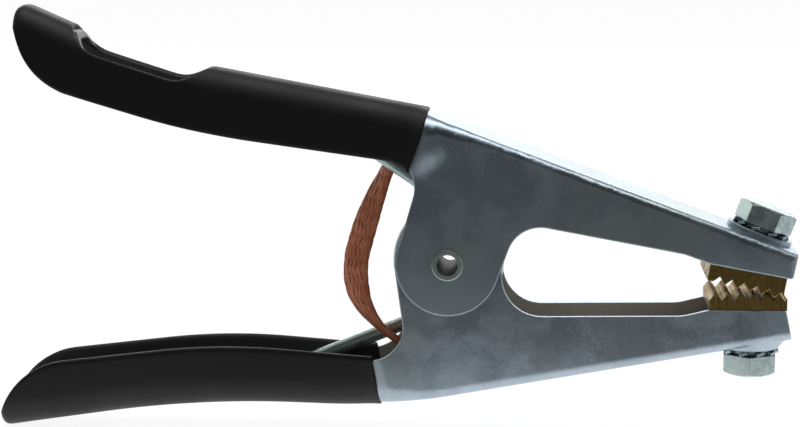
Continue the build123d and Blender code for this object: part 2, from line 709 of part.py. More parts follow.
def make_lock_washer(frame, seat):
    """External-tooth lock washer: a flat ring whose teeth are twisted out of its plane."""
    ring_radius = LOCK_WASHER_DIAMETER / 2 - LOCK_TOOTH_LENGTH + LOCK_TOOTH_ROOT
    ring = Cylinder(ring_radius, LOCK_WASHER_SHEET) - Cylinder(WASHER_HOLE / 2, LOCK_WASHER_SHEET)
    tooth = Pos(LOCK_WASHER_DIAMETER / 2 - LOCK_TOOTH_LENGTH / 2, 0, 0) * Rot(
        LOCK_TOOTH_TWIST, 0, 0
    ) * Box(LOCK_TOOTH_LENGTH, LOCK_TOOTH_WIDTH, LOCK_WASHER_SHEET)
    washer = ring
    for k in range(LOCK_WASHER_TEETH):
        washer += Rot(0, 0, k * 360 / LOCK_WASHER_TEETH) * tooth
    return frame * Pos(0, 0, seat + lock_washer_height() / 2) * washer


def make_flat_washer(frame):
    ring = Cylinder(FLAT_WASHER_DIAMETER / 2, FLAT_WASHER_THICKNESS)
    ring -= Cylinder(WASHER_HOLE / 2, FLAT_WASHER_THICKNESS)
    return frame * Pos(0, 0, FLAT_WASHER_THICKNESS / 2) * ring


# ---------------------------------------------------------------- copper link


def make_lug(frame):
    """Crimped end of the braid: a drilled eye under the pad and a pressed barrel behind it."""
    eye = Pos(0, 0, LUG_THICKNESS / 2) * Cylinder(BOSS_RADIUS, LUG_THICKNESS)
    tail_sheet = LUG_THICKNESS - LUG_TAIL_LIFT
    tail_length = LUG_NECK + LUG_BARREL_LENGTH / 2
    tail = Pos(tail_length / 2, 0, LUG_TAIL_LIFT + tail_sheet / 2) * Box(
        tail_length, LUG_TAIL_WIDTH, tail_sheet
    )
    barrel = extrude(
        Plane.YZ * RectangleRounded(LUG_TAIL_WIDTH, LUG_BARREL_HEIGHT, LUG_BARREL_ROUND),
        amount=LUG_BARREL_LENGTH,
    )
    barrel = Pos(LUG_NECK, 0, LUG_TAIL_LIFT + LUG_BARREL_HEIGHT / 2) * barrel
    lug = eye + tail + barrel
    lug -= Cylinder(WASHER_HOLE / 2, 3 * LUG_THICKNESS)
    inward = Plane(
        origin=frame.origin - frame.z_dir * STEEL, x_dir=frame.x_dir, z_dir=-frame.z_dir
    )
    return inward * lug


def barrel_end(frame, run):
    """Middle of a lug barrel's rear face, moved back along the barrel by run."""
    depth = STEEL + LUG_TAIL_LIFT + LUG_BARREL_HEIGHT / 2
    back = LUG_NECK + LUG_BARREL_LENGTH + run
    return frame.origin + frame.x_dir * back - frame.z_dir * depth


def make_braid():
    """The copper link, from lug to lug: inside the upper arm, round behind the coil and back."""
    side = BRAID_SIDE_STEP
    points = [
        barrel_end(upper_bolt, 0),
        barrel_end(upper_bolt, UPPER_BRAID_LEAD),
        Vector(-12.5, side, 42.0),
        Vector(-31.4, 0.35 * side, 0.5),
        Vector(-29.2, -0.35 * side, -16.0),
        Vector(-4.5, -side, -38.3),
        barrel_end(lower_bolt, LOWER_BRAID_LEAD),
        barrel_end(lower_bolt, 0),
    ]
    radii = []
    for before, corner, after in zip(points, points[1:], points[2:]):
        turn = radians((corner - before).get_angle(after - corner))
        shorter = min((corner - before).length, (after - corner).length)
        radii.append(min(BRAID_ROUND * shorter / tan(turn / 2), BRAID_LARGEST_BEND))
    line = FilletPolyline(*points, radius=radii)
    section = Plane(origin=line @ 0, z_dir=line % 0) * Circle(BRAID_DIAMETER / 2)
    print("braid length", round(line.length, 1), "bend radii", [round(r, 1) for r in radii])
    return sweep(section, path=line)


# ---------------------------------------------------------------- the parts


def main():
    upper_arm, lower_arm = make_upper_arm(), make_lower_arm()
    stack = FLAT_WASHER_THICKNESS
    lock = lock_washer_height()
    below_head = STEEL + LUG_THICKNESS
    parts = {
        "upper_arm": upper_arm,
        "lower_arm": lower_arm,
        "upper_grip": make_upper_grip(upper_arm),
        "lower_grip": make_lower_grip(lower_arm),
        "pivot_rivet": make_rivet(),
        "pivot_spacer": make_spacer(),
        "torsion_spring": make_spring(),
        "upper_jaw_pad": make_upper_pad(),
        "lower_jaw_pad": make_lower_pad(),
        "upper_jaw_bolt": make_bolt(
            upper_bolt, stack + lock, stack + lock + below_head + UPPER_ENGAGEMENT, UPPER_HEAD_TURN
        ),
        "lower_jaw_bolt": make_bolt(
            lower_bolt, lock, lock + below_head + LOWER_ENGAGEMENT, LOWER_HEAD_TURN
        ),
        "upper_lock_washer": make_lock_washer(upper_bolt, stack),
        "lower_lock_washer": make_lock_washer(lower_bolt, 0),
        "upper_flat_washer": make_flat_washer(upper_bolt),
        "upper_braid_lug": make_lug(upper_bolt),
        "lower_braid_lug": make_lug(lower_bolt),
        "copper_braid": make_braid(),
    }
    os.makedirs("parts", exist_ok=True)
    for name, shape in parts.items():
        export_step(shape, f"parts/{name}.step")


if __name__ == "__main__":
    main()
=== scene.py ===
"""Ground clamp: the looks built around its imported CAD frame, laid out as a Blender add-on."""

import json
import math

import bmesh
import bpy
import numpy as np
from bpy.props import FloatProperty, FloatVectorProperty, PointerProperty
from bpy.types import NodeSocket, Operator, Panel, PropertyGroup
from mathutils import Matrix, Vector

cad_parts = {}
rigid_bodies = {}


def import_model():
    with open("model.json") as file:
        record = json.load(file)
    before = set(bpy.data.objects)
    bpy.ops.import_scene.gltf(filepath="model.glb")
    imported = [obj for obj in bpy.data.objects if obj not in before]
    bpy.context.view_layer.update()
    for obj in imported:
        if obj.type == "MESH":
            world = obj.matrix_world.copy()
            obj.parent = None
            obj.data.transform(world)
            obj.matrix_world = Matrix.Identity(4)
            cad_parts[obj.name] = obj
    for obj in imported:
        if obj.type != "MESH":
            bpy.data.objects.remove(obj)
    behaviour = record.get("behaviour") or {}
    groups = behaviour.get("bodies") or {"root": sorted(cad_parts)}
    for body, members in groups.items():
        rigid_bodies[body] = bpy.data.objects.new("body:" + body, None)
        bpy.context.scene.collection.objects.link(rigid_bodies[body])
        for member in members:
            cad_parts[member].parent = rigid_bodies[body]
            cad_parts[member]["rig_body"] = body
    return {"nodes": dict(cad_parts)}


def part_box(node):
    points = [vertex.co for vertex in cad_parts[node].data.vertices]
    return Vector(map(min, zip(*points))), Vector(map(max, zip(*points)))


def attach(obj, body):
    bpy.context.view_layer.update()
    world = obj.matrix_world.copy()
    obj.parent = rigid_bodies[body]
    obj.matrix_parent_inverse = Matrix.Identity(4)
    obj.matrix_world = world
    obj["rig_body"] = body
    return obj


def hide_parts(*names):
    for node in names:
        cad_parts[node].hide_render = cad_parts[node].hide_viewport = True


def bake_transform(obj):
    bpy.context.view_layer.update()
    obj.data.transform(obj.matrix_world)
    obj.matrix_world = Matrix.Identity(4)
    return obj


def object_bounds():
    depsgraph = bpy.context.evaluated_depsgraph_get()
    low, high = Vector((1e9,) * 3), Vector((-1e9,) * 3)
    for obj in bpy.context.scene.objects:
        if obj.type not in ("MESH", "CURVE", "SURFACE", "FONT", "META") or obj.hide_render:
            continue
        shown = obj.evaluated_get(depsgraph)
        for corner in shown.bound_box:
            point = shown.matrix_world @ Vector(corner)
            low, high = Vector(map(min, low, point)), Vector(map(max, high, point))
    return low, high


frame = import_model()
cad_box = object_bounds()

bl_info = {
    "name": "Ground clamp",
    "version": (1, 0, 0),
    "blender": (4, 5, 0),
    "location": "3D View > Sidebar > Clamp",
    "description": "Builds the visible pieces, finishes and stage of a welding ground clamp",
    "category": "Object",
}

MM = 0.001
MERGE_DISTANCE = 2e-6
FLAT_ANGLE = math.radians(0.3)      # below which two triangles lie in one plane
ACROSS = np.array([0.0, 1.0, 0.0])  # along the pivot's axis


# ---- settings


def colour_setting(name, description, default):
    """A colour's property."""
    return FloatVectorProperty(
        name=name, description=description, subtype="COLOR", size=3, min=0, max=1, default=default
    )


def power_setting(name, description, default):
    """A lamp's property, in watts."""
    return FloatProperty(name=name, description=description, default=default, min=0, unit="POWER")


def angle_setting(name, description, degrees):
    """An angle's property, in degrees here and in radians in Blender."""
    return FloatProperty(
        name=name, description=description, default=math.radians(degrees), unit="ROTATION"
    )


class ClampFinish(PropertyGroup):
    """Colours of the clamp's materials."""

    zinc: colour_setting("Zinc sheet", "Reflectance of arms and washers", (0.45, 0.54, 0.62))
    bright_zinc: colour_setting(
        "Bright zinc", "Reflectance of bolts, spacer, rivet and spring", (0.50, 0.62, 0.63)
    )
    pvc: colour_setting("Dipped PVC", "Colour of the grips", (0.004, 0.004, 0.0045))
    brass: colour_setting("Brass", "Reflectance of the toothed pads", (0.52, 0.37, 0.12))
    copper: colour_setting("Copper", "Reflectance of braid and lugs", (0.70, 0.27, 0.145))


class ClampStage(PropertyGroup):
    """Camera and lights."""

    distance: FloatProperty(
        name="Camera distance", description="From the lens to the middle plane of the clamp",
        default=0.6795, min=0.1, unit="LENGTH",
    )
    yaw: angle_setting("Camera yaw", "How far the camera looks towards the handles", 3.37)
    pitch: angle_setting("Camera pitch", "How far the camera looks down", 8.557)
    lens: FloatProperty(
        name="Focal length", description="On a 36 mm wide sensor, in millimetres",
        default=96.75, min=10,
    )
    key_power: power_setting("Key light", "Power of the softbox overhead", 6.0)
    back_power: power_setting("Back light", "Power of the softbox behind", 8.0)
    side_power: power_setting("Side light", "Power of the softbox aside", 0.55)
    ambient: FloatProperty(
        name="Ambient", description="Level of the room's light on the object", default=0.55, min=0,
    )


# ---- meshes


def add_to_scene(data):
    """An object named like its data, linked into the scene."""
    made = bpy.data.objects.new(data.name, data)
    bpy.context.scene.collection.objects.link(made)
    return made


def new_object(mesh, body, finish):
    """An object at the origin that rides on a body, if any; its finish is a material's name."""
    piece = add_to_scene(mesh)
    mesh.materials.append(bpy.data.materials[finish])
    if body:
        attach(piece, body)
    return piece


def gathered(collection, name, width=1, kind=float):
    """One value of every item in a mesh's collection; vectors come as rows."""
    found = np.empty(width * len(collection), dtype=kind)
    collection.foreach_get(name, found)
    return found if width == 1 else found.reshape(-1, width)


def flat_wall_areas(pairs, areas):
    """For each face the area of the flat wall it is part of; pairs are neighbours in one plane."""
    label = np.arange(len(areas))
    settled = False
    while not settled:
        low = label.copy()
        np.minimum.at(low, pairs[:, 0], label[pairs[:, 1]])
        np.minimum.at(low, pairs[:, 1], label[pairs[:, 0]])
        low = low[low]
        settled = (low == label).all()
        label = low
    return np.bincount(label, areas, len(areas))[label]


def wall_normals(mesh, pairs, smooth_angle):
    """A normal for each face corner that leaves flat walls flat and rounds only the bends.

    It is the sum of the normals of the faces round the corner's vertex that lie within the
    smoothing angle of its own face, each weighted by the square of its flat wall's area.
    """
    vertex = gathered(mesh.loops, "vertex_index", kind=np.int32)
    corners = gathered(mesh.polygons, "loop_total", kind=np.int32)
    normal = gathered(mesh.polygons, "normal", 3)
    weight = flat_wall_areas(pairs, gathered(mesh.polygons, "area")) ** 2
    face = np.repeat(np.arange(len(corners)), corners)
    order = np.argsort(vertex, kind="stable")
    around = np.bincount(vertex)
    start = np.cumsum(around) - around
    repeats = around[vertex[order]]
    first = np.repeat(order, repeats)
    step = np.arange(repeats.sum()) - np.repeat(np.cumsum(repeats) - repeats, repeats)
    second = order[np.repeat(start[vertex[order]], repeats) + step]
    own, other = normal[face[first]], normal[face[second]]
    smooth = (own * other).sum(axis=1) > math.cos(math.radians(smooth_angle))
    total = np.zeros((len(vertex), 3))
    np.add.at(total, first, (smooth * weight[face[second]])[:, None] * other)
    return total / np.maximum(np.linalg.norm(total, axis=1, keepdims=True), 1e-30)


def merged_copy(node, name, finish, smooth_angle=32.0, turn=None):
    """A copy of a CAD node with its triangles joined and its bends shaded round.

    Walls that meet at less than the smoothing angle are shaded as one bend. A matrix can turn a
    screw about its own axis.
    """
    part = frame["nodes"][node]
    mesh = part.data.copy()
    mesh.name = name
    mesh.materials.clear()
    if turn is not None:
        mesh.transform(turn)
    sheet = bmesh.new()
    sheet.from_mesh(mesh)
    bmesh.ops.remove_doubles(sheet, verts=sheet.verts, dist=MERGE_DISTANCE)
    bmesh.ops.dissolve_degenerate(sheet, edges=sheet.edges, dist=MERGE_DISTANCE)
    sheet.faces.index_update()
    pairs = [
        [face.index for face in edge.link_faces] for edge in sheet.edges
        if len(edge.link_faces) == 2 and edge.calc_face_angle(math.pi) < FLAT_ANGLE
    ]
    for face in sheet.faces:
        face.smooth = True
    sheet.to_mesh(mesh)
    sheet.free()
    mesh.normals_split_custom_set(wall_normals(mesh, np.array(pairs).reshape(-1, 2), smooth_angle))
    piece = new_object(mesh, part["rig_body"], finish)
    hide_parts(node)
    return piece


def turn_about(x, z, lean, angle):
    """The matrix that turns by an angle about an axis leaning forward from (x, z) millimetres."""
    place = Matrix.Translation((x * MM, 0, z * MM))
    lean = math.radians(lean)
    spin = Matrix.Rotation(math.radians(angle), 4, (math.sin(lean), 0, math.cos(lean)))
    return place @ spin @ place.inverted()


def draw_in_tip(mesh, x_tip, heading):
    """Draws a handle's hidden steel tip forward along its web, so that the coat's nose is round."""
    points = gathered(mesh.vertices, "co", 3)
    share = smooth_step(points[:, 0], x_tip + TIP_DRAW_LENGTH * MM, x_tip)[:, None]
    points += share * TIP_DRAW * MM * toward(heading)
    mesh.vertices.foreach_set("co", points.ravel())


def grid_mesh(name, points, keep=None, uv=None, close_rows=False):
    """A mesh over an array of points (columns, rows, 3); keep says which quads exist.

    Quads face the side from which columns run right and rows run up.
    """
    columns, rows = points.shape[:2]
    index = np.arange(columns * rows).reshape(columns, rows)
    if close_rows:
        index = np.concatenate([index, index[:, :1]], axis=1)
    quads = np.stack([index[:-1, :-1], index[1:, :-1], index[1:, 1:], index[:-1, 1:]], axis=-1)
    quads = quads.reshape(-1, 4) if keep is None else quads[keep]
    used = np.unique(quads)
    fresh = np.zeros(columns * rows, dtype=int)
    fresh[used] = np.arange(len(used))
    mesh = bpy.data.meshes.new(name)
    mesh.from_pydata(points.reshape(-1, 3)[used], [], fresh[quads])
    mesh.polygons.foreach_set("use_smooth", np.ones(len(quads), dtype=bool))
    if uv is not None:
        layer = mesh.uv_layers.new(name="lay")
        layer.data.foreach_set("uv", uv.reshape(-1, 2)[quads.ravel()].ravel())
    return mesh


# ---- curves in numpy


def toward(heading):
    """The unit vector of a heading in the side view, in degrees up from the jaws' direction."""
    angle = math.radians(heading)
    return np.array([math.cos(angle), 0, math.sin(angle)])


def unit(vectors):
    """The same vectors with a length of one."""
    return vectors / np.linalg.norm(vectors, axis=-1, keepdims=True)


def line(x, z, heading, aside=0.0):
    """A straight line as (point, unit direction), moved to its right by aside; millimetres."""
    direction = toward(heading)[::2]
    return np.array([x, z]) + aside * np.array([direction[1], -direction[0]]), direction


def meet(first, second):
    """Where two lines cross."""
    (p, d), (q, e) = first, second
    along = ((q - p)[0] * e[1] - (q - p)[1] * e[0]) / (d[0] * e[1] - d[1] * e[0])
    return p + along * d


def spaced(path, step, extra):
    """Points a step or less apart along a path, and how far along each lies."""
    length = np.concatenate([[0], np.cumsum(np.linalg.norm(np.diff(path, axis=0), axis=1))])
    even = np.linspace(0, length[-1], int(length[-1] / step) + extra)
    return np.stack([np.interp(even, length, axis) for axis in path.T], axis=1), even


def rounded(lines, ends, radii, step):
    """An even path along lines, with an arc of the given radius where each meets the next.

    It begins and ends at the given distances along the first and the last line.
    """
    (start, first), (stop, last) = lines[0], lines[-1]
    corners = [meet(*pair) for pair in zip(lines, lines[1:])]
    points = np.array([start + ends[0] * first, *corners, stop + ends[1] * last])
    pieces = [points[:1]]
    for before, corner, after, radius in zip(points, points[1:], points[2:], radii):
        into, out = unit(corner - before), unit(after - corner)
        turn = math.acos(np.clip(into @ out, -1, 1))
        start = corner - radius * math.tan(turn / 2) * into
        inward = unit(out - (out @ into) * into)
        angle = np.linspace(0, turn, 25)[:, None]
        pieces.append(start + radius * (np.sin(angle) * into + (1 - np.cos(angle)) * inward))
    return spaced(np.concatenate([*pieces, points[-1:]]), step, 2)[0]


def smooth_step(value, low, high):
    """0 up to low, 1 from high on, and an even S between."""
    t = np.clip((value - low) / (high - low), 0, 1)
    return t * t * (3 - 2 * t)


def frames_along(path):
    """Unit tangent, sideways and normal vectors along a path, with sideways nearly ACROSS."""
    tangent = unit(np.gradient(path, axis=0))
    sideways = unit(ACROSS - (ACROSS * tangent).sum(axis=1, keepdims=True) * tangent)
    return tangent, sideways, np.cross(tangent, sideways)


# ---- node groups and materials


class Graph:
    """Short hands for building a node tree."""

    def __init__(self, tree):
        self.tree = tree

    def feed(self, socket, value):
        """Links a socket from another one, or sets it; a colour comes without its alpha."""
        if isinstance(value, NodeSocket):
            self.tree.links.new(value, socket)
        elif socket.type == "RGBA":
            socket.default_value = (*value, 1.0)
        else:
            socket.default_value = value

    def node(self, kind, *values, **inputs):
        """Adds a shader node; values feed its first inputs, in order.

        Keywords set its properties, or its inputs by name with _ for each space.
        """
        made = self.tree.nodes.new(f"ShaderNode{kind}")
        for key, value in inputs.items():
            if hasattr(made, key):
                setattr(made, key, value)
            else:
                self.feed(made.inputs[key.replace("_", " ")], value)
        for socket, value in zip(made.inputs, values):
            self.feed(socket, value)
        return made

    def split(self, vector):
        """The X, Y and Z of a vector."""
        return self.node("SeparateXYZ", vector).outputs

    def math(self, operation, *values, clamp=False):
        """One operation on one or two numbers."""
        return self.node("Math", *values, operation=operation, use_clamp=clamp).outputs[0]

    def times(self, first, second, clamp=False):
        """The product of two numbers."""
        return self.math("MULTIPLY", first, second, clamp=clamp)

    def less(self, first, second):
        """The first number less the second."""
        return self.math("SUBTRACT", first, second)

    def vectors(self, operation, *values, result="Value"):
        """One operation on one or two vectors."""
        return self.node("VectorMath", *values, operation=operation).outputs[result]

    def ramp(self, value, low, high, to_low=0.0, to_high=1.0):
        """Value between low and high, spread smoothly from to_low to to_high."""
        made = self.node(
            "MapRange", value, interpolation_type="SMOOTHSTEP",
            From_Min=low, From_Max=high, To_Min=to_low, To_Max=to_high,
        )
        return made.outputs["Result"]

    def mix(self, factor, first, second):
        """Colour mixed from first to second by a factor."""
        made = self.node("Mix", data_type="RGBA")
        for place, value in ((0, factor), (6, first), (7, second)):
            self.feed(made.inputs[place], value)
        return made.outputs[2]

    def noise(self, vector, scale, detail, roughness, distortion=0.0):
        """Soft noise about 0.5."""
        made = self.node(
            "TexNoise", Vector=vector, Scale=scale, Detail=detail, Roughness=roughness,
            Distortion=distortion,
        )
        return made.outputs["Fac"]


def new_group(name, normal=False, **inputs):
    """A shader group that makes a mask, and a normal if asked, from a position and floats.

    Returns its graph, the sockets that it is given and those that it gives out.
    """
    group = bpy.data.node_groups.new(name, "ShaderNodeTree")
    group.interface.new_socket("Position", in_out="INPUT", socket_type="NodeSocketVector")
    for key, default in inputs.items():
        socket = group.interface.new_socket(
            key.replace("_", " "), in_out="INPUT", socket_type="NodeSocketFloat"
        )
        socket.default_value = default
    group.interface.new_socket("Mask", in_out="OUTPUT", socket_type="NodeSocketFloat")
    if normal:
        group.interface.new_socket("Normal", in_out="OUTPUT", socket_type="NodeSocketVector")
    graph = Graph(group)
    source, target = group.nodes.new("NodeGroupInput"), group.nodes.new("NodeGroupOutput")
    return graph, source.outputs, target.inputs


def mottle_group():
    """Cloudy plating: broad clouds broken up by small flecks, as one mask."""
    graph, given, out = new_group(
        "cloudy_plating", Cloud_Scale=60.0, Fleck_Scale=900.0, Flecks=0.35
    )
    clouds = graph.noise(given["Position"], given["Cloud Scale"], 5.0, 0.6, 0.4)
    flecks = graph.noise(given["Position"], given["Fleck Scale"], 3.0, 0.7)
    cloud_mask = graph.ramp(clouds, 0.36, 0.66)
    fleck_mask = graph.ramp(flecks, 0.35, 0.68)
    share = graph.times(given["Flecks"], graph.less(fleck_mask, 0.5))
    graph.feed(out["Mask"], graph.math("ADD", cloud_mask, share, clamp=True))


def scratch_group():
    """Fine handling scratches: noise drawn out along one direction, kept to thin crests."""
    graph, given, out = new_group("fine_scratches", Density=900.0, Stretch=0.04, Turn=0.0)
    turned = graph.node(
        "VectorRotate", rotation_type="Y_AXIS", Vector=given["Position"], Angle=given["Turn"]
    )
    drawn = graph.node("CombineXYZ", X=given["Stretch"], Y=1.0, Z=1.0)
    placed = graph.vectors("MULTIPLY", turned.outputs[0], drawn.outputs[0], result="Vector")
    grain = graph.noise(placed, given["Density"], 2.0, 0.6)
    crest = graph.math("ABSOLUTE", graph.less(grain, 0.5))
    graph.feed(out["Mask"], graph.ramp(crest, 0.0, 0.035, 1.0, 0.0))


def dust_group():
    """Loose dust: small soft specks that gather on upward faces."""
    graph, given, out = new_group("loose_dust", Scale=700.0, Amount=0.5)
    specks = graph.noise(given["Position"], given["Scale"], 5.0, 0.75)
    patches = graph.noise(given["Position"], 35.0, 2.0, 0.5)
    facing = graph.split(graph.node("NewGeometry").outputs["Normal"])
    up = graph.ramp(facing["Z"], -0.2, 0.9, 0.15, 1.0)
    speck_mask = graph.ramp(specks, 0.52, 0.72)
    patch_mask = graph.ramp(patches, 0.3, 0.7, 0.2, 1.0)
    mask = graph.times(graph.times(speck_mask, patch_mask), up)
    graph.feed(out["Mask"], graph.times(mask, given["Amount"], clamp=True))


def edge_group():
    """Painted edge highlight and wear: where a normal rounded over a small radius leaves the
    surface's, broken up.

    It gives the rounded normal too.
    """
    graph, given, out = new_group(
        "edge_wear_and_painted_highlight", normal=True, Radius=0.00045, Breakup_Scale=300.0, Amount=1.0
    )
    eased = graph.node("Bevel", samples=6, Radius=given["Radius"])
    graph.feed(out["Normal"], eased.outputs["Normal"])
    geometry = graph.node("NewGeometry")
    agree = graph.vectors("DOT_PRODUCT", eased.outputs["Normal"], geometry.outputs["Normal"])
    turned = graph.ramp(agree, 0.86, 0.985, 1.0, 0.0)
    breakup = graph.noise(given["Position"], given["Breakup Scale"], 3.0, 0.6)
    broken = graph.ramp(breakup, 0.3, 0.6, 0.45, 1.0)
    mask = graph.times(graph.times(turned, broken), given["Amount"], clamp=True)
    graph.feed(out["Mask"], mask)


def place_group(graph, group, position, **values):
    """A group node fed with a position and its own values; returns its Mask, and Normal if any."""
    made = graph.node("Group", position, node_tree=bpy.data.node_groups[group], **values)
    if "Normal" in made.outputs:
        return made.outputs["Mask"], made.outputs["Normal"]
    return made.outputs["Mask"]


def new_material(name):
    """A bare Principled material's graph, its shader's inputs and the object coordinates."""
    made = bpy.data.materials.new(name)
    made.use_nodes = True
    graph = Graph(made.node_tree)
    position = graph.node("TexCoord").outputs["Object"]
    return graph, made.node_tree.nodes["Principled BSDF"].inputs, position


def scaled(colour, factor):
    """A colour times one factor, or one for each channel, at most 1."""
    return tuple(np.minimum(1.0, np.multiply(colour, factor)))


def bump(graph, shader, height, distance, strength, **normal):
    """Raises a material's surface by a height, over its own normal or the one given."""
    made = graph.node("Bump", Height=height, Distance=distance, Strength=strength, **normal)
    graph.feed(shader["Normal"], made.outputs["Normal"])


def zinc_material(name, colour, roughness, cloud_scale, contrast, edge=1.0, ease=0.45):
    """Zinc plate: metal with cloudy tint, handling scratches and edges eased by so much, painted
    paler as highlight and wear.
    """
    graph, shader, position = new_material(name)
    clouds = place_group(graph, "cloudy_plating", position, Cloud_Scale=cloud_scale, Flecks=0.5)
    scratches = place_group(graph, "fine_scratches", position, Turn=0.4)
    crossing = place_group(graph, "fine_scratches", position, Turn=1.9, Density=700.0)
    edges, eased = place_group(graph, "edge_wear_and_painted_highlight", position, Amount=edge, Radius=ease * MM)
    tint = graph.mix(clouds, scaled(colour, 1 - contrast), scaled(colour, 1 + contrast))
    warm = graph.ramp(graph.noise(position, 22.0, 3.0, 0.5), 0.45, 0.75)
    warm_tint = graph.mix(warm, tint, scaled(colour, (1.05, 1.02, 0.88)))
    lines = graph.times(graph.math("MAXIMUM", scratches, crossing), 0.18)
    scratched = graph.mix(lines, warm_tint, scaled(colour, 1.25))
    # Painted highlight and wear: eased edges get a paler, less metallic and rougher zinc.
    graph.feed(shader["Base Color"], graph.mix(edges, scratched, scaled(colour, 1.7)))
    graph.feed(shader["Metallic"], graph.ramp(edges, 0.0, 1.0, 1.0, 0.5))
    rough = graph.math("ADD", roughness - 0.05, graph.times(clouds, 0.1))
    graph.feed(shader["Roughness"], graph.math("ADD", rough, graph.times(edges, 0.12)))
    ripple = graph.noise(position, 260.0, 3.0, 0.6)
    height = graph.less(ripple, graph.times(lines, 0.6))
    bump(graph, shader, height, 0.00002, 0.5, Normal=eased)
    return graph, shader, position


def lay_over(graph, shader, mask, colour, roughness, metallic):
    """Lays another finish over what feeds the shader, where the mask is 1."""
    under = shader["Base Color"].links[0].from_socket
    graph.feed(shader["Base Color"], graph.mix(mask, under, colour))
    for name, level in (("Roughness", roughness), ("Metallic", metallic)):
        under = shader[name].links[0].from_socket
        step = graph.times(graph.less(level, under), mask)
        graph.feed(shader[name], graph.math("ADD", under, step))


INWARD = (-0.004, -0.006)   # normal times place along Y, over which a wall counts as inner


def inner_wall(graph, position):
    """1 on what faces the clamp's middle plane, 0 on what faces out."""
    facing = graph.split(graph.node("NewGeometry").outputs["Normal"])
    inward = graph.times(facing["Y"], graph.split(position)["Y"])
    return graph.ramp(inward, *INWARD)


# Painted highlight on the upper arm's flare below its coat: an oval's middle, turn and half axes,
# in metres.
FLARE_HIGHLIGHT = {
    "Location": (-0.0062, 0.0, 0.0318), "Rotation": (0.0, -0.7, 0.0), "Scale": (0.0055, 1.0, 0.0026)
}
EAR_PAINTED_LIGHT = (0.012, -0.012)  # heights over which painted light makes the upper arm paler towards its ear
DIP_FADE = (3.5, 3.0)       # behind the coat's end, where the dip's black ends on the sheet
BORE_FADE = (3.36, 3.6)     # radii over which the painted shade in the rivet's bore gives way to its bright rim
# Paler zinc painted on the sheets' inner walls as light in their shade.
INNER_ZINC_PAINTED_LIGHT = (0.56, 0.55, 0.49)
# Dark zinc painted in the rivet's bore as shade.
BORE_PAINTED_SHADE = (0.11, 0.11, 0.115)
# Dark grey PVC painted on the grips' inner walls as light in their shade.
INNER_PVC_PAINTED_LIGHT = (0.022, 0.022, 0.022)
DUST = (0.05, 0.05, 0.05)
# Pale yellow painted on brass edges, as wear and as highlight.
WORN_BRASS_AND_HIGHLIGHT = (0.78, 0.60, 0.28)


def sheet_material(finish, side, shape, upright):
    """Zinc sheet of one arm, with painted light: paler on its inner walls and, on the upper arm, on
    its flare and towards its ear. What the dip reached, edges and all, is black to the coat's end.
    """
    graph, shader, position = zinc_material(
        f"zinc_{side}", finish.zinc, 0.36, 60.0, 0.14, ease=0.75
    )
    if side == "upper":
        # Painted highlight: an uneven oval of paler, rougher zinc on the flare just outside the
        # coat.
        placed = graph.node("Mapping", vector_type="TEXTURE", Vector=position, **FLARE_HIGHLIGHT)
        painted_flare_highlight = graph.ramp(graph.vectors("LENGTH", placed.outputs[0]), 0.1, 1.7, 0.75, 0.0)
        uneven = graph.ramp(graph.noise(position, 260.0, 3.0, 0.5), 0.3, 0.6, 0.6, 1.0)
        painted_flare_highlight = graph.times(painted_flare_highlight, uneven)
        lay_over(graph, shader, painted_flare_highlight, scaled(finish.zinc, 1.6), 0.5, 0.6)
        # Painted light: below these heights the upper arm is laid over with paler zinc.
        low = graph.ramp(graph.split(position)["Z"], *EAR_PAINTED_LIGHT, 0.0, 0.6)
        lay_over(graph, shader, low, scaled(finish.zinc, 1.25), 0.42, 1.0)
    # Painted light: walls facing the middle plane, which lie in shade, get a paler zinc.
    lay_over(graph, shader, inner_wall(graph, position), INNER_ZINC_PAINTED_LIGHT, 0.5, 0.55)
    lean = math.radians(shape["lean"])
    height = shape["top"][2][1] - shape["end"] * math.tan(lean)
    reach = (shape["end"] * math.cos(lean) - height * math.sin(lean)) * MM
    axis = (math.cos(lean), 0.0, -upright * math.sin(lean))
    along = graph.vectors("DOT_PRODUCT", position, axis)
    dipped = graph.ramp(along, *(reach - fade * MM for fade in DIP_FADE), 1.0, 0.0)
    lay_over(graph, shader, dipped, finish.pvc, 0.4, 0.0)


def rivet_material(finish):
    """Bright zinc rolled over softly at its rim, with painted shade in its bore."""
    graph, shader, position = zinc_material(
        "rivet_zinc", scaled(finish.bright_zinc, 1.2), 0.34, 140.0, 0.06, ease=0.5
    )
    parts = graph.split(position)
    ring = graph.node("CombineXYZ", X=parts["X"], Z=parts["Z"])
    radius = graph.vectors("LENGTH", ring.outputs[0])
    # Painted shade: inside the rim the bore is dark, dull zinc.
    painted_bore_shade = graph.ramp(radius, *(fade * MM for fade in BORE_FADE), 1.0, 0.0)
    lay_over(graph, shader, painted_bore_shade, BORE_PAINTED_SHADE, 0.6, 0.3)


def pvc_material(finish):
    """Dipped PVC: soft black with an uneven skin, a little fine dust, duller patches and painted
    light on its inner walls.
    """
    graph, shader, position = new_material("dipped_pvc")
    dust = place_group(graph, "loose_dust", position, Amount=0.12)
    # Painted light: the grips' inner walls, deep in shade, get a dark grey instead of black.
    pvc_with_painted_light = graph.mix(inner_wall(graph, position), finish.pvc, INNER_PVC_PAINTED_LIGHT)
    graph.feed(shader["Base Color"], graph.mix(dust, pvc_with_painted_light, DUST))
    patches = graph.noise(position, 45.0, 3.0, 0.5)
    rough = graph.ramp(patches, 0.3, 0.7, 0.50, 0.60)
    rough = graph.math("ADD", rough, graph.times(dust, 0.3), clamp=True)
    graph.feed(shader["Roughness"], rough)
    graph.feed(shader["IOR"], 1.45)
    skin = graph.noise(position, 110.0, 2.0, 0.5)
    pores = graph.noise(position, 1600.0, 2.0, 0.5)
    bump(graph, shader, graph.math("ADD", skin, graph.times(pores, 0.06)), 0.00006, 0.4)


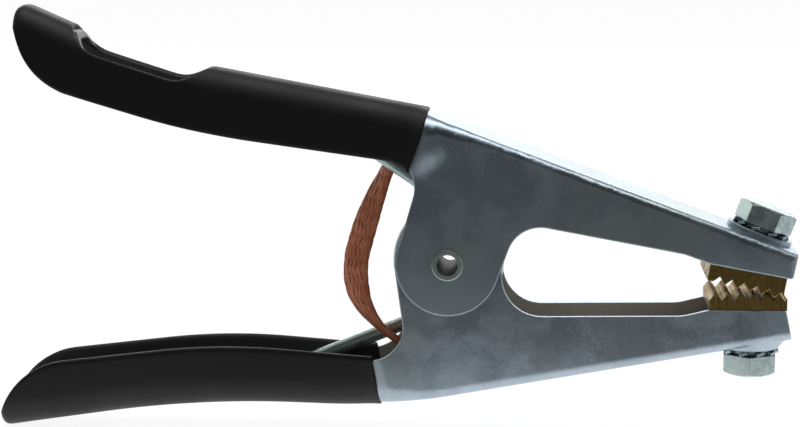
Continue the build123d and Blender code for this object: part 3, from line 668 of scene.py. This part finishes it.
def brass_material(finish):
    """Sawn brass: dull olive tarnish over yellow metal, with saw lines up the sides and pale edges
    painted as wear and highlight.
    """
    graph, shader, position = new_material("sawn_brass")
    clouds = place_group(graph, "cloudy_plating", position, Cloud_Scale=160.0, Flecks=0.8)
    edges, eased = place_group(graph, "edge_wear_and_painted_highlight", position, Breakup_Scale=900.0)
    sawn = graph.node("Mapping", vector_type="POINT", Vector=position, Scale=(1.0, 1.0, 0.05))
    lines = graph.noise(sawn.outputs[0], 1500.0, 3.0, 0.65)
    tarnish = graph.mix(clouds, scaled(finish.brass, 0.42), finish.brass)
    dark = scaled(finish.brass, (0.45, 0.42, 0.36))
    streaked = graph.mix(graph.ramp(lines, 0.35, 0.7), tarnish, dark)
    # Edges painted pale yellow, partly as rubbed wear and partly as highlight.
    graph.feed(shader["Base Color"], graph.mix(edges, streaked, WORN_BRASS_AND_HIGHLIGHT))
    graph.feed(shader["Metallic"], 1.0)
    graph.feed(shader["Roughness"], graph.ramp(clouds, 0.0, 1.0, 0.48, 0.30))
    bump(graph, shader, lines, 0.00008, 0.7, Normal=eased)


def copper_material(finish, name, wires):
    """Bare copper, browner where it has oxidised; a ribbon shows its fine wires, if any, with
    painted shade in the grooves between them.
    """
    graph, shader, position = new_material(name)
    clouds = place_group(
        graph, "cloudy_plating", position, Cloud_Scale=180.0, Fleck_Scale=2500.0, Flecks=0.9
    )
    tint = graph.mix(clouds, scaled(finish.copper, (0.72, 0.62, 0.58)), finish.copper)
    if wires:
        across = graph.split(graph.node("UVMap", uv_map="lay").outputs[0])["Y"]
        wave = graph.math("SINE", graph.times(across, wires * 2 * math.pi))
        # Painted shade: the grooves between the fine wires are darkened towards deep brown.
        crest = graph.ramp(wave, -1.0, 0.0, 0.5, 1.0)
        tint = graph.mix(crest, scaled(finish.copper, (0.2, 0.14, 0.14)), tint)
        bump(graph, shader, wave, 0.00005, 0.7)
    graph.feed(shader["Base Color"], tint)
    graph.feed(shader["Metallic"], 0.55 if wires else 0.9)
    graph.feed(shader["Roughness"], graph.ramp(clouds, 0.0, 1.0, 0.52, 0.38))


def make_materials(finish):
    """Every node group and material; their names differ from those that the frame brings."""
    for make_group in (mottle_group, scratch_group, dust_group, edge_group):
        make_group()
    for side, shape, upright in HANDLES:
        sheet_material(finish, side, shape, upright)
    zinc_material("bolt_zinc", finish.bright_zinc, 0.3, 300.0, 0.25, edge=0.4, ease=0.3)
    zinc_material("washer_zinc", scaled(finish.zinc, 0.9), 0.4, 240.0, 0.14, ease=0.4)
    zinc_material("spring_wire", scaled(finish.bright_zinc, 1.2), 0.42, 200.0, 0.1, edge=0.0)
    rivet_material(finish)
    pvc_material(finish)
    brass_material(finish)
    copper_material(finish, "copper_wire", 5.0)
    copper_material(finish, "copper_lug", 0)


# ---- operators


class CLAMP_OT_finishes(Operator):
    """Make the node groups and materials"""

    bl_idname = "clamp.finishes"
    bl_label = "Finishes"

    def execute(self, context):
        make_materials(context.scene.clamp_finish)
        return {"FINISHED"}


class CLAMP_OT_arms(Operator):
    """Two pressed steel arms"""

    bl_idname = "clamp.arms"
    bl_label = "Arms"

    def execute(self, context):
        for side, shape, upright in HANDLES:
            piece = merged_copy(f"{side}_arm", f"{side}_pressing", f"zinc_{side}")
            draw_in_tip(piece.data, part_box(f"{side}_arm")[0].x, upright * shape["top"][0][2])
        return {"FINISHED"}


# Side view of each dipped handle in millimetres, outside of the steel, with the web on top: lines
# as (x, height, heading); the lower handle is drawn upside down.
UPPER_HANDLE = {
    "nose": 3.2,
    "top": ((-98.6, 63.634, -23.6), (-8.0, 46.843, -10.5), (0.0, 43.9, -20.2)),
    "turns": (230.0, 20.0),
    "under": ((-132.3, 66.8, -75.3), (-86.4, 43.774, -16.5), (-61.5, 39.159, -7.8)),
    "rounds": (20.8, 250.0, 9.5),
    "ear": (16.1, 254.0),
    "end": -6.2,
    "lean": 20.2,
    "body": 14.2,
    "window": ((-118.2, 69.7, -70.0), (-105.7, 61.55, -17.8), (-77.9, 57.4, 22.8)),
}
LOWER_HANDLE = {
    "nose": 2.3,
    "top": ((-79.0, 44.912, -8.5), (-20.5, 46.444, 1.5), (0.0, 42.7, -10.35)),
    "turns": (350.0, 180.0),
    "under": ((-140.9, 49.5, -75.0), (-118.0, 33.441, -6.9), (-60.0, 28.81, 4.2)),
    "rounds": (22.8, 200.0, 11.0),
    "ear": (16.6, 262.0),
    "end": -21.0,
    "lean": 10.35,
    "body": 12.4,
    "window": None,
}
HANDLES = (("upper", UPPER_HANDLE, 1), ("lower", LOWER_HANDLE, -1))
HANDLE_HALF_WIDTH = 10.8
HANDLE_BEND = 7.0
COAT = 1.1
COATED_SHEET = 3.0
NOSE_RADIUS = 80.0
BOW_RUN = 18.0              # how far the nose's bow reaches along the handle
TIP_DRAW = 5.5
TIP_DRAW_LENGTH = 18.0
LIP_FULLNESS = 0.6
RIM_FULLNESS = 0.35
SHOULDER_FULLNESS = 1.4
LEAN_RUN = 55.0             # before the coat's end, where the columns begin to lean
EAR_RAMP = 4.0              # before the coat's end, where the channel begins to widen
SHOULDER_SHARPENING = 3.6   # what the shoulders' radius would lose
SHARPENING_RUN = 22.0       # over this length from there on
WINDOW_ROUNDS = (15.0, 10.2)
# Where the column lines stand: behind the nose, before the end, and as shares of the window.
NOSE_MARKS = np.array([0, 0.08, 0.3, 0.7, 1.3, 2.2, 3.4, 5.2, 7.6, 11.0, 15.0])
END_MARKS = np.array([4.2, 2.6, 1.2, 0.35, 0])
WINDOW_MARKS = np.concatenate([[0, 0.025, 0.06], np.linspace(0.1, 0.88, 20), [0.93, 0.97, 1]])
END_RUN = 6.0
RIM_ROUNDS = 12             # of seeking where a leaning column meets the rim
WEB_ROWS, WALL_ROWS = 2, 13


def handle_surface(shape):
    """Outer face of a dipped handle: its points (columns, rows, 3) and the quads to keep.

    Column lines run round the channel from one rim over the web to the other: level across the
    web, a quarter circle over each shoulder, then straight down to the rim. Along the handle the
    web follows the top line and the rims the line underneath; the columns lean over towards the
    front so that the last one lies along the end of the coat. At the tip the web rounds down into
    the slanted edge of the side walls and bows back a little. Where there is a window, the rows
    below the shoulder's start are spread from the window's sill instead, and the quads across the
    web are left out.
    """
    tip_line, handle, web = [line(*values, aside=-COAT) for values in shape["top"]]
    tip_edge, rear_rim, rim = [
        line(*values, aside=COAT + RIM_FULLNESS) for values in shape["under"]
    ]
    top = rounded(
        (tip_edge, tip_line, handle, web), (0, 20),
        (shape["nose"], shape["turns"][0] - COAT, shape["turns"][1] + COAT), 0.15,
    )
    top = top[np.argmin(top[:, 0]):]
    ear, heading = shape["ear"]
    back = line(0, 0, heading, aside=ear + COAT)
    under = rounded(
        (tip_edge, rear_rim, rim, back), (-30, 0),
        (shape["rounds"][0] + COAT, shape["rounds"][1] + COAT, shape["rounds"][2] - COAT), 0.4,
    )
    under = under[: np.argmax(under[:, 0]) + 1]

    nose, end = top[0, 0], shape["end"]
    marks = nose + NOSE_MARKS
    if shape["window"]:
        rear, sill, front = [
            line(*values, aside=-COAT - LIP_FULLNESS) for values in shape["window"]
        ]
        opening = rounded(
            (rear, sill, front), (-8, 12), (WINDOW_ROUNDS[0] - COAT, WINDOW_ROUNDS[1] - COAT), 0.2
        )
        depth = np.interp(opening[:, 0], *top.T) - opening[:, 1]
        inside = opening[depth > 0, 0]
        first, last = inside.min(), inside.max()
        stations = [
            marks, np.linspace(marks[-1], first, 6)[1:-1], first + (last - first) * WINDOW_MARKS,
            np.linspace(last, end - END_RUN, 26)[1:],
        ]
    else:
        stations = [marks, np.linspace(marks[-1], end - END_RUN, 46)[1:]]
    x_web = np.concatenate([*stations, end - END_MARKS])

    z_web = np.interp(x_web, *top.T)
    lean = math.tan(math.radians(shape["lean"])) * smooth_step(x_web, end - LEAN_RUN, end)
    bow = 1 - smooth_step(x_web, nose, nose + BOW_RUN)
    along = x_web - end
    flare = smooth_step(along, -EAR_RAMP, EAR_RAMP)
    half_width = HANDLE_HALF_WIDTH + (shape["body"] - HANDLE_HALF_WIDTH) * flare + COAT
    sharper = SHOULDER_SHARPENING * np.clip((along + EAR_RAMP) / SHARPENING_RUN, 0, 1)
    bend = HANDLE_BEND + COAT + SHOULDER_FULLNESS - sharper
    bowed = NOSE_RADIUS - math.sqrt(NOSE_RADIUS**2 - (HANDLE_HALF_WIDTH + COAT) ** 2)
    x_side = x_web + bow * bowed
    x_rim = x_side
    for _ in range(RIM_ROUNDS):
        x_rim = x_side - lean * (z_web - np.interp(x_rim, *under.T))
    drop = z_web - np.interp(x_rim, *under.T)

    flat = half_width - bend
    sill_row = flat.copy()
    cut = np.zeros(len(x_web), dtype=bool)
    if shape["window"]:
        sunk = z_web - np.interp(x_web, *opening.T)
        cut = (x_web >= first - 1e-6) & (x_web <= last + 1e-6)
        sunk = np.clip(np.where(cut, sunk, 0), 0, bend)
        sill_row = flat + bend * np.arccos(1 - sunk / bend)
    across_web = np.linspace(0, 1, WEB_ROWS + 1)[:-1]
    down = np.linspace(0, 1, WALL_ROWS)
    round_the_shoulder = bend * np.arccos(1 - np.clip(drop / bend, 0.02, 1))
    reach = flat + round_the_shoulder + np.clip(drop - bend, 0, None)
    path = np.concatenate([
        flat[:, None] * across_web,
        sill_row[:, None] + (reach - sill_row)[:, None] * down,
    ], axis=1)
    flat, bend, drop = flat[:, None], bend[:, None], drop[:, None]
    swing = np.clip((path - flat) / bend, 0, math.pi / 2)
    below = np.clip(path - flat - bend * math.pi / 2, 0, None)
    y = np.minimum(path, flat) + bend * np.sin(swing)
    fall = bend * (1 - np.cos(swing)) + below
    arc = NOSE_RADIUS - np.sqrt(NOSE_RADIUS**2 - np.minimum(y, NOSE_RADIUS - 1) ** 2)
    x = x_web[:, None] + bow[:, None] * arc - lean[:, None] * fall
    z = z_web[:, None] - fall
    half = np.stack([x, y, z], axis=-1)
    points = np.concatenate([half[:, :0:-1] * (1, -1, 1), half], axis=1)
    keep = np.ones((len(x_web) - 1, points.shape[1] - 1), dtype=bool)
    middle = half.shape[1] - 1
    keep[np.flatnonzero(cut)[:-1], middle - WEB_ROWS : middle + WEB_ROWS] = False
    return points, keep


class CLAMP_OT_grips(Operator):
    """Dipped grips: one even skin with thick rounded lips round its rims, end and window"""

    bl_idname = "clamp.grips"
    bl_label = "Grips"

    def execute(self, context):
        for side, shape, upright in HANDLES:
            points, keep = handle_surface(shape)
            points = points * (1, upright, upright) * MM
            mesh = grid_mesh(f"{side}_dipped_grip", points, keep)
            piece = new_object(mesh, f"{side}_arm", "dipped_pvc")
            shell = piece.modifiers.new("coated_sheet", "SOLIDIFY")
            shell.thickness = COATED_SHEET * MM
            shell.offset = -1.0
            shell.use_even_offset = True
            soft = piece.modifiers.new("soft_lips", "SUBSURF")
            soft.levels = soft.render_levels = 2
            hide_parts(f"{side}_grip")
        return {"FINISHED"}


def drawn_in(ring, centre, step):
    """A tube's end ring made smaller and moved on a step, and one shrunk to its middle."""
    small = centre + 0.85 * (ring - centre) + step
    return small, small + 0.999 * (small.mean(axis=1, keepdims=True) - small)


def tube(path, radius, sides):
    """A round tube carried along a path, with ends drawn in to a small flat face."""
    tangent, sideways, normal = frames_along(path)
    turn = np.linspace(0, 2 * math.pi, sides, endpoint=False)
    ring = np.cos(turn)[:, None] * sideways[:, None] + np.sin(turn)[:, None] * normal[:, None]
    points = path[:, None] + radius * ring
    step = 0.15 * radius * tangent[:, None]
    nose, shut_nose = drawn_in(points[:1], path[:1, None], -step[:1])
    heel, shut_heel = drawn_in(points[-1:], path[-1:, None], step[-1:])
    return np.concatenate([shut_nose, nose, points, heel, shut_heel])


COIL_RADIUS = 15.2      # of the wire's middle
COIL_HALF_LENGTH = 5.5
COIL_START = -67.8
COIL_TURNS = 2.342
COIL_COLUMNS = 190
SPRING_LEGS = ((202.2, 78.0), (145.2, 57.0))    # headings and lengths, lower and upper
LEG_COLUMNS = 40
WIRE_RADIUS = 2.3
WIRE_SIDES = 24


def closed(mesh, *others):
    """The mesh with others joined to it and every open end loop closed with one face."""
    sheet = bmesh.new()
    for part in (mesh, *others):
        sheet.from_mesh(part)
    bmesh.ops.holes_fill(sheet, edges=[edge for edge in sheet.edges if edge.is_boundary], sides=64)
    sheet.to_mesh(mesh)
    sheet.free()
    return mesh


class CLAMP_OT_spring(Operator):
    """Torsion spring: round wire in a coil about the rivet, with a straight leg up each handle"""

    bl_idname = "clamp.spring"
    bl_label = "Spring"

    def execute(self, context):
        angle = np.radians(np.linspace(COIL_START, COIL_START + 360 * COIL_TURNS, COIL_COLUMNS))
        helix = np.stack([
            COIL_RADIUS * np.cos(angle),
            np.linspace(COIL_HALF_LENGTH, -COIL_HALF_LENGTH, COIL_COLUMNS),
            COIL_RADIUS * np.sin(angle),
        ], axis=1)
        run = np.linspace(1, 0, LEG_COLUMNS)[:-1, None]
        lower, upper = [length * run * toward(heading) for heading, length in SPRING_LEGS]
        path = np.concatenate([helix[0] + lower, helix, helix[-1] + upper[::-1]])
        points = tube(path * MM, WIRE_RADIUS * MM, WIRE_SIDES)
        mesh = closed(grid_mesh("spring_wire", points[:, ::-1], close_rows=True))
        piece = new_object(mesh, None, "spring_wire")
        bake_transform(piece)
        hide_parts("torsion_spring")
        return {"FINISHED"}


# The braid's route, lug to lug, in millimetres.
BRAID_ROUTE = (
    (76.25, 0, 10.2), (55.6, 0, 17.8), (24.0, 0.6, 29.5), (8.0, 1.2, 36.5), (-5.0, 1.9, 40.2),
    (-15.5, 1.7, 36.0), (-21.5, 1.1, 24.0), (-26.8, 0.5, 10.0), (-30.5, 0, -4.5),
    (-27.0, -0.8, -17.5), (-14.0, -1.6, -29.0), (4.0, -1.6, -33.0), (28.0, -0.5, -30.0),
    (60.8, 0, -22.1), (74.8, 0, -22.1),
)


def cord_line(name, points, step):
    """Even points along the smooth spline that a route's points control, and their distances."""
    curve = bpy.data.curves.new(name, "CURVE")
    curve.dimensions = "3D"
    curve.resolution_u = 32
    spline = curve.splines.new("NURBS")
    spline.points.add(len(points) - 1)
    for control, place in zip(spline.points, points):
        control.co = (*place, 1.0)
    spline.order_u = 3
    spline.use_endpoint_u = True
    holder = bpy.data.objects.new(name, curve)
    mesh = bpy.data.meshes.new_from_object(holder)
    path = gathered(mesh.vertices, "co", 3)
    bpy.data.batch_remove((holder, curve, mesh))
    return spaced(path, step, 1)


BRAID_LAY = 130.0
CARRIERS = 16
RIBBON_SIDES = 8
CORE_SIDES = 24
RIBBON_HALF_WIDTH = 0.70
RIBBON_HALF_THICKNESS = 0.24
RIBBON_LIFT = 0.15
# The flattened oval's tilt and half axes in the lugs, and what each gains behind the coil.
TILT, TILT_GAIN = -14, -50
OVAL_HALF_WIDTH, WIDTH_GAIN = 3.5, 0.5
OVAL_HALF_THICKNESS, THICKNESS_GAIN = 0.9, 0.15
BEHIND_FROM, BEHIND_TO = (0.37, 0.50), (0.54, 0.64)     # shares of the route
CORE_INSET = (0.35, 0.3)


def braid_strands():
    """Flat ribbons wound both ways round a flattened tube, each passing over and under the others.

    A ribbon's middle goes round the tube's flattened oval while it moves along the route; it
    rises and dips once every two crossings, and the two directions are half a wave apart. The
    oval turns about the route so that the band lies flat in the lugs and shows its face behind
    the coil.
    """
    path, length = cord_line("braid_route", BRAID_ROUTE, 0.75)
    tangent, sideways, normal = frames_along(path)
    share = length / length[-1]
    behind = smooth_step(share, *BEHIND_FROM) - smooth_step(share, *BEHIND_TO)
    tilt = np.radians(TILT + TILT_GAIN * behind)[:, None]
    wide = np.cos(tilt) * sideways + np.sin(tilt) * normal
    thin = np.cross(tangent, wide)
    half_width = (OVAL_HALF_WIDTH + WIDTH_GAIN * behind - 0.12 * np.sin(length / 9.0))[:, None]
    half_thick = (OVAL_HALF_THICKNESS + THICKNESS_GAIN * behind)[:, None]
    lay = 2 * math.pi * length / BRAID_LAY
    begin = 2 * math.pi * np.arange(CARRIERS)[:, None] / CARRIERS
    around = 2 * math.pi * np.arange(RIBBON_SIDES)[:, None] / RIBBON_SIDES
    ribbons, coordinates = [], []
    for hand in (1, -1):
        turn = begin + hand * lay
        lift = RIBBON_LIFT * hand * np.cos(CARRIERS * lay)
        uneven = 0.07 * np.sin(turn * 3 + begin * 7) + 0.05 * np.sin(length / 3.1 + 5 * begin)
        out_wide = np.cos(turn) / half_width.T
        out_thin = np.sin(turn) / half_thick.T
        size = np.hypot(out_wide, out_thin)
        out = (out_wide / size)[..., None] * wide + (out_thin / size)[..., None] * thin
        centre = (
            path + (half_width.T * np.cos(turn))[..., None] * wide
            + (half_thick.T * np.sin(turn))[..., None] * thin
            + (lift + uneven)[..., None] * out
        )
        run = unit(np.gradient(centre, axis=1))
        flank = unit(np.cross(run, out))
        top = np.cross(flank, run)
        ring = (
            RIBBON_HALF_WIDTH * np.cos(around) * flank[..., None, :]
            + RIBBON_HALF_THICKNESS * np.sin(around) * top[..., None, :]
        )
        ribbons.append(centre[..., None, :] + ring)
        shape = ribbons[-1].shape[:-1]
        u = np.broadcast_to(length[:, None] + 37 * begin[:, :, None], shape)
        v = np.broadcast_to(np.abs(around[:, 0] / math.pi - 1), shape)
        coordinates.append(np.stack([u, v], axis=-1))
    about = 2 * math.pi * np.arange(CORE_SIDES) / CORE_SIDES
    core = (
        path[:, None]
        + ((half_width - CORE_INSET[0]) * np.cos(about))[..., None] * wide[:, None]
        - ((half_thick - CORE_INSET[1]) * np.sin(about))[..., None] * thin[:, None]
    )
    core_lay = np.stack(np.broadcast_arrays(length[:, None], about), axis=-1)
    return np.concatenate(ribbons), np.concatenate(coordinates), core, core_lay


class CLAMP_OT_braid(Operator):
    """Flat copper braid from one jaw to the other, woven from ribbons of fine wire round a core"""

    bl_idname = "clamp.braid"
    bl_label = "Braid"

    def execute(self, context):
        ribbons, coordinates, core, core_lay = braid_strands()
        count, columns, rows = ribbons.shape[:3]
        points = ribbons.reshape(count * columns, rows, 3) * MM
        keep = np.ones((count * columns - 1, rows), dtype=bool)
        keep[columns - 1 :: columns] = False
        mesh = grid_mesh("copper_weave", points, keep, coordinates.reshape(-1, rows, 2), True)
        inside = grid_mesh("copper_core", core[:, ::-1] * MM, uv=core_lay, close_rows=True)
        piece = new_object(closed(mesh, inside), None, "copper_wire")
        bpy.data.meshes.remove(inside)
        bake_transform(piece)
        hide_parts("copper_braid")
        return {"FINISHED"}


# Where each jaw bolt crosses its web, how far it leans forward, and the turn that it was left at.
BOLTS = {"upper": (97.0, 8.21, 20.2, -23.0), "lower": (95.0, -25.35, -10.35, -10.0)}


class CLAMP_OT_hardware(Operator):
    """Rivet, spacer, bolts, washers, pads and lugs"""

    bl_idname = "clamp.hardware"
    bl_label = "Hardware"

    def execute(self, context):
        merged_copy("pivot_rivet", "pivot_rivet_shown", "rivet_zinc")
        merged_copy("pivot_spacer", "pivot_spacer_shown", "bolt_zinc")
        for node in ("upper_lock_washer", "lower_lock_washer", "upper_flat_washer"):
            merged_copy(node, f"{node}_shown", "washer_zinc")
        for side, place in BOLTS.items():
            merged_copy(
                f"{side}_jaw_bolt", f"{side}_jaw_bolt_shown", "bolt_zinc",
                turn=turn_about(*place),
            )
        for side in ("upper", "lower"):
            merged_copy(
                f"{side}_jaw_pad", f"{side}_brass_pad", "sawn_brass", smooth_angle=25
            )
            merged_copy(f"{side}_braid_lug", f"{side}_lug", "copper_lug")
        return {"FINISHED"}


class CLAMP_OT_stage(Operator):
    """Floor, camera, softboxes and room"""

    bl_idname = "clamp.stage"
    bl_label = "Stage"

    def execute(self, context):
        stage = context.scene.clamp_stage
        make_floor(cad_box[0].z)
        make_world(stage)
        make_lights(stage)
        make_camera(stage)
        context.scene.view_settings.view_transform = "Standard"
        return {"FINISHED"}


FLOOR_HALF = 6.0
CAMERA_AIM = (-15.52, 0.0, 13.98)


def make_floor(height):
    """A wide flat floor as low as the clamp reaches."""
    mesh = bpy.data.meshes.new("floor")
    around = ((-1, -1), (1, -1), (1, 1), (-1, 1))
    corners = [(x * FLOOR_HALF, y * FLOOR_HALF, height) for x, y in around]
    mesh.from_pydata(corners, [], [(0, 1, 2, 3)])
    floor = add_to_scene(mesh)
    mesh.materials.append(floor_material())


def bare_graph(owner):
    """The emptied node tree of a material or world, and two sockets.

    They are 1 for rays straight from the camera, and for rays that come by way of a mirror.
    """
    owner.use_nodes = True
    owner.node_tree.nodes.clear()
    graph = Graph(owner.node_tree)
    path = graph.node("LightPath").outputs
    mirrored = graph.math("MAXIMUM", path["Is Glossy Ray"], path["Is Transmission Ray"])
    return graph, path["Is Camera Ray"], mirrored


def floor_material():
    """Matt pale floor; where it is seen or mirrored it is lifted to white and keeps its shadow."""
    made = bpy.data.materials.new("pale_floor")
    graph, seen, mirrored = bare_graph(made)
    parts = graph.split(graph.node("TexCoord").outputs["Object"])
    aside = graph.ramp(parts["X"], 0.13, 0.3, 1.0, 0.25)
    behind = graph.times(graph.ramp(parts["Y"], -0.12, 0.0), aside)
    seen = graph.math("MAXIMUM", seen, graph.times(mirrored, behind))
    dark = graph.times(mirrored, graph.less(1.0, behind))
    shadow_share = graph.ramp(seen, 0.0, 1.0, 0.75, 0.14)
    share = graph.times(shadow_share, graph.less(1.0, graph.times(dark, 0.85)))
    grey = graph.node("CombineColor", Red=share, Green=share, Blue=share)
    matt = graph.node("BsdfDiffuse", Color=grey.outputs[0])
    glow = graph.node("Emission", Color=(1, 1, 1), Strength=graph.times(seen, 0.9))
    both = graph.node("AddShader", matt.outputs[0], glow.outputs[0])
    graph.node("OutputMaterial", Surface=both.outputs[0])
    return made


def make_world(stage):
    """White where it is seen, even light on matt faces, and in mirrors a room dark in front."""
    world = bpy.data.worlds.new("studio_room")
    bpy.context.scene.world = world
    graph, seen, mirrored = bare_graph(world)
    parts = graph.split(graph.node("TexCoord").outputs["Generated"])
    behind = graph.ramp(parts["Y"], -0.3, 0.7, 0.145, 1.0)
    low = graph.ramp(parts["Z"], 0.22, 0.45, 1.0, 0.12)
    plain = graph.times(graph.less(1.0, mirrored), stage.ambient)
    level = graph.math("ADD", plain, graph.times(mirrored, graph.times(behind, low)))
    level = graph.math("MAXIMUM", level, seen)
    background = graph.node("Background", Color=(1, 1, 1), Strength=level)
    graph.node("OutputWorld", Surface=background.outputs[0])


def look_along(piece, direction):
    """Turns a lamp or a camera to look in a direction."""
    piece.rotation_mode = "QUATERNION"
    piece.rotation_quaternion = direction.to_track_quat("-Z", "Y")


def make_lights(stage):
    """A softbox overhead, a long one behind for what faces up, a narrow one by the jaws."""
    for name, place, size, power in (
        ("overhead", (0.0, 0.15, 1.1), (1.3, 0.5), stage.key_power),
        ("behind", (0.1, 1.5, 0.62), (2.2, 0.5), stage.back_power),
        ("aside", (1.0, -0.95, 0.1), (0.35, 0.7), stage.side_power),
    ):
        softbox = bpy.data.lights.new(name, "AREA")
        softbox.shape = "RECTANGLE"
        softbox.size, softbox.size_y = size
        softbox.energy = power
        lamp = add_to_scene(softbox)
        lamp.visible_camera = False
        lamp.location = place
        look_along(lamp, -lamp.location)


def make_camera(stage):
    """The camera looks level along the clamp's side, a little down and towards the handles."""
    camera = bpy.data.cameras.new("camera")
    camera.sensor_width = 36.0
    camera.lens = stage.lens
    camera.clip_start, camera.clip_end = 0.01, 100.0
    rig = add_to_scene(camera)
    look = Vector((
        -math.sin(stage.yaw) * math.cos(stage.pitch),
        math.cos(stage.yaw) * math.cos(stage.pitch),
        -math.sin(stage.pitch),
    ))
    rig.location = Vector(CAMERA_AIM) * MM - look * stage.distance
    look_along(rig, look)
    bpy.context.scene.camera = rig


class CLAMP_PT_panel(Panel):
    """Lists the clamp's pieces"""

    bl_label = "Ground clamp"
    bl_space_type = "VIEW_3D"
    bl_region_type = "UI"
    bl_category = "Clamp"

    def draw(self, context):
        for operator in OPERATORS:
            self.layout.operator(operator.bl_idname)


OPERATORS = (
    CLAMP_OT_finishes, CLAMP_OT_arms, CLAMP_OT_grips, CLAMP_OT_spring, CLAMP_OT_braid,
    CLAMP_OT_hardware, CLAMP_OT_stage,
)
CLASSES = (ClampFinish, ClampStage, *OPERATORS, CLAMP_PT_panel)


def register():
    for cls in CLASSES:
        bpy.utils.register_class(cls)
    bpy.types.Scene.clamp_finish = PointerProperty(type=ClampFinish)
    bpy.types.Scene.clamp_stage = PointerProperty(type=ClampStage)


def unregister():
    del bpy.types.Scene.clamp_stage
    del bpy.types.Scene.clamp_finish
    for cls in reversed(CLASSES):
        bpy.utils.unregister_class(cls)


def main():
    """Builds everything in order."""
    register()
    bpy.ops.clamp.finishes()
    bpy.ops.clamp.arms()
    bpy.ops.clamp.grips()
    bpy.ops.clamp.spring()
    bpy.ops.clamp.braid()
    bpy.ops.clamp.hardware()
    bpy.ops.clamp.stage()


if __name__ == "__main__":
    main()
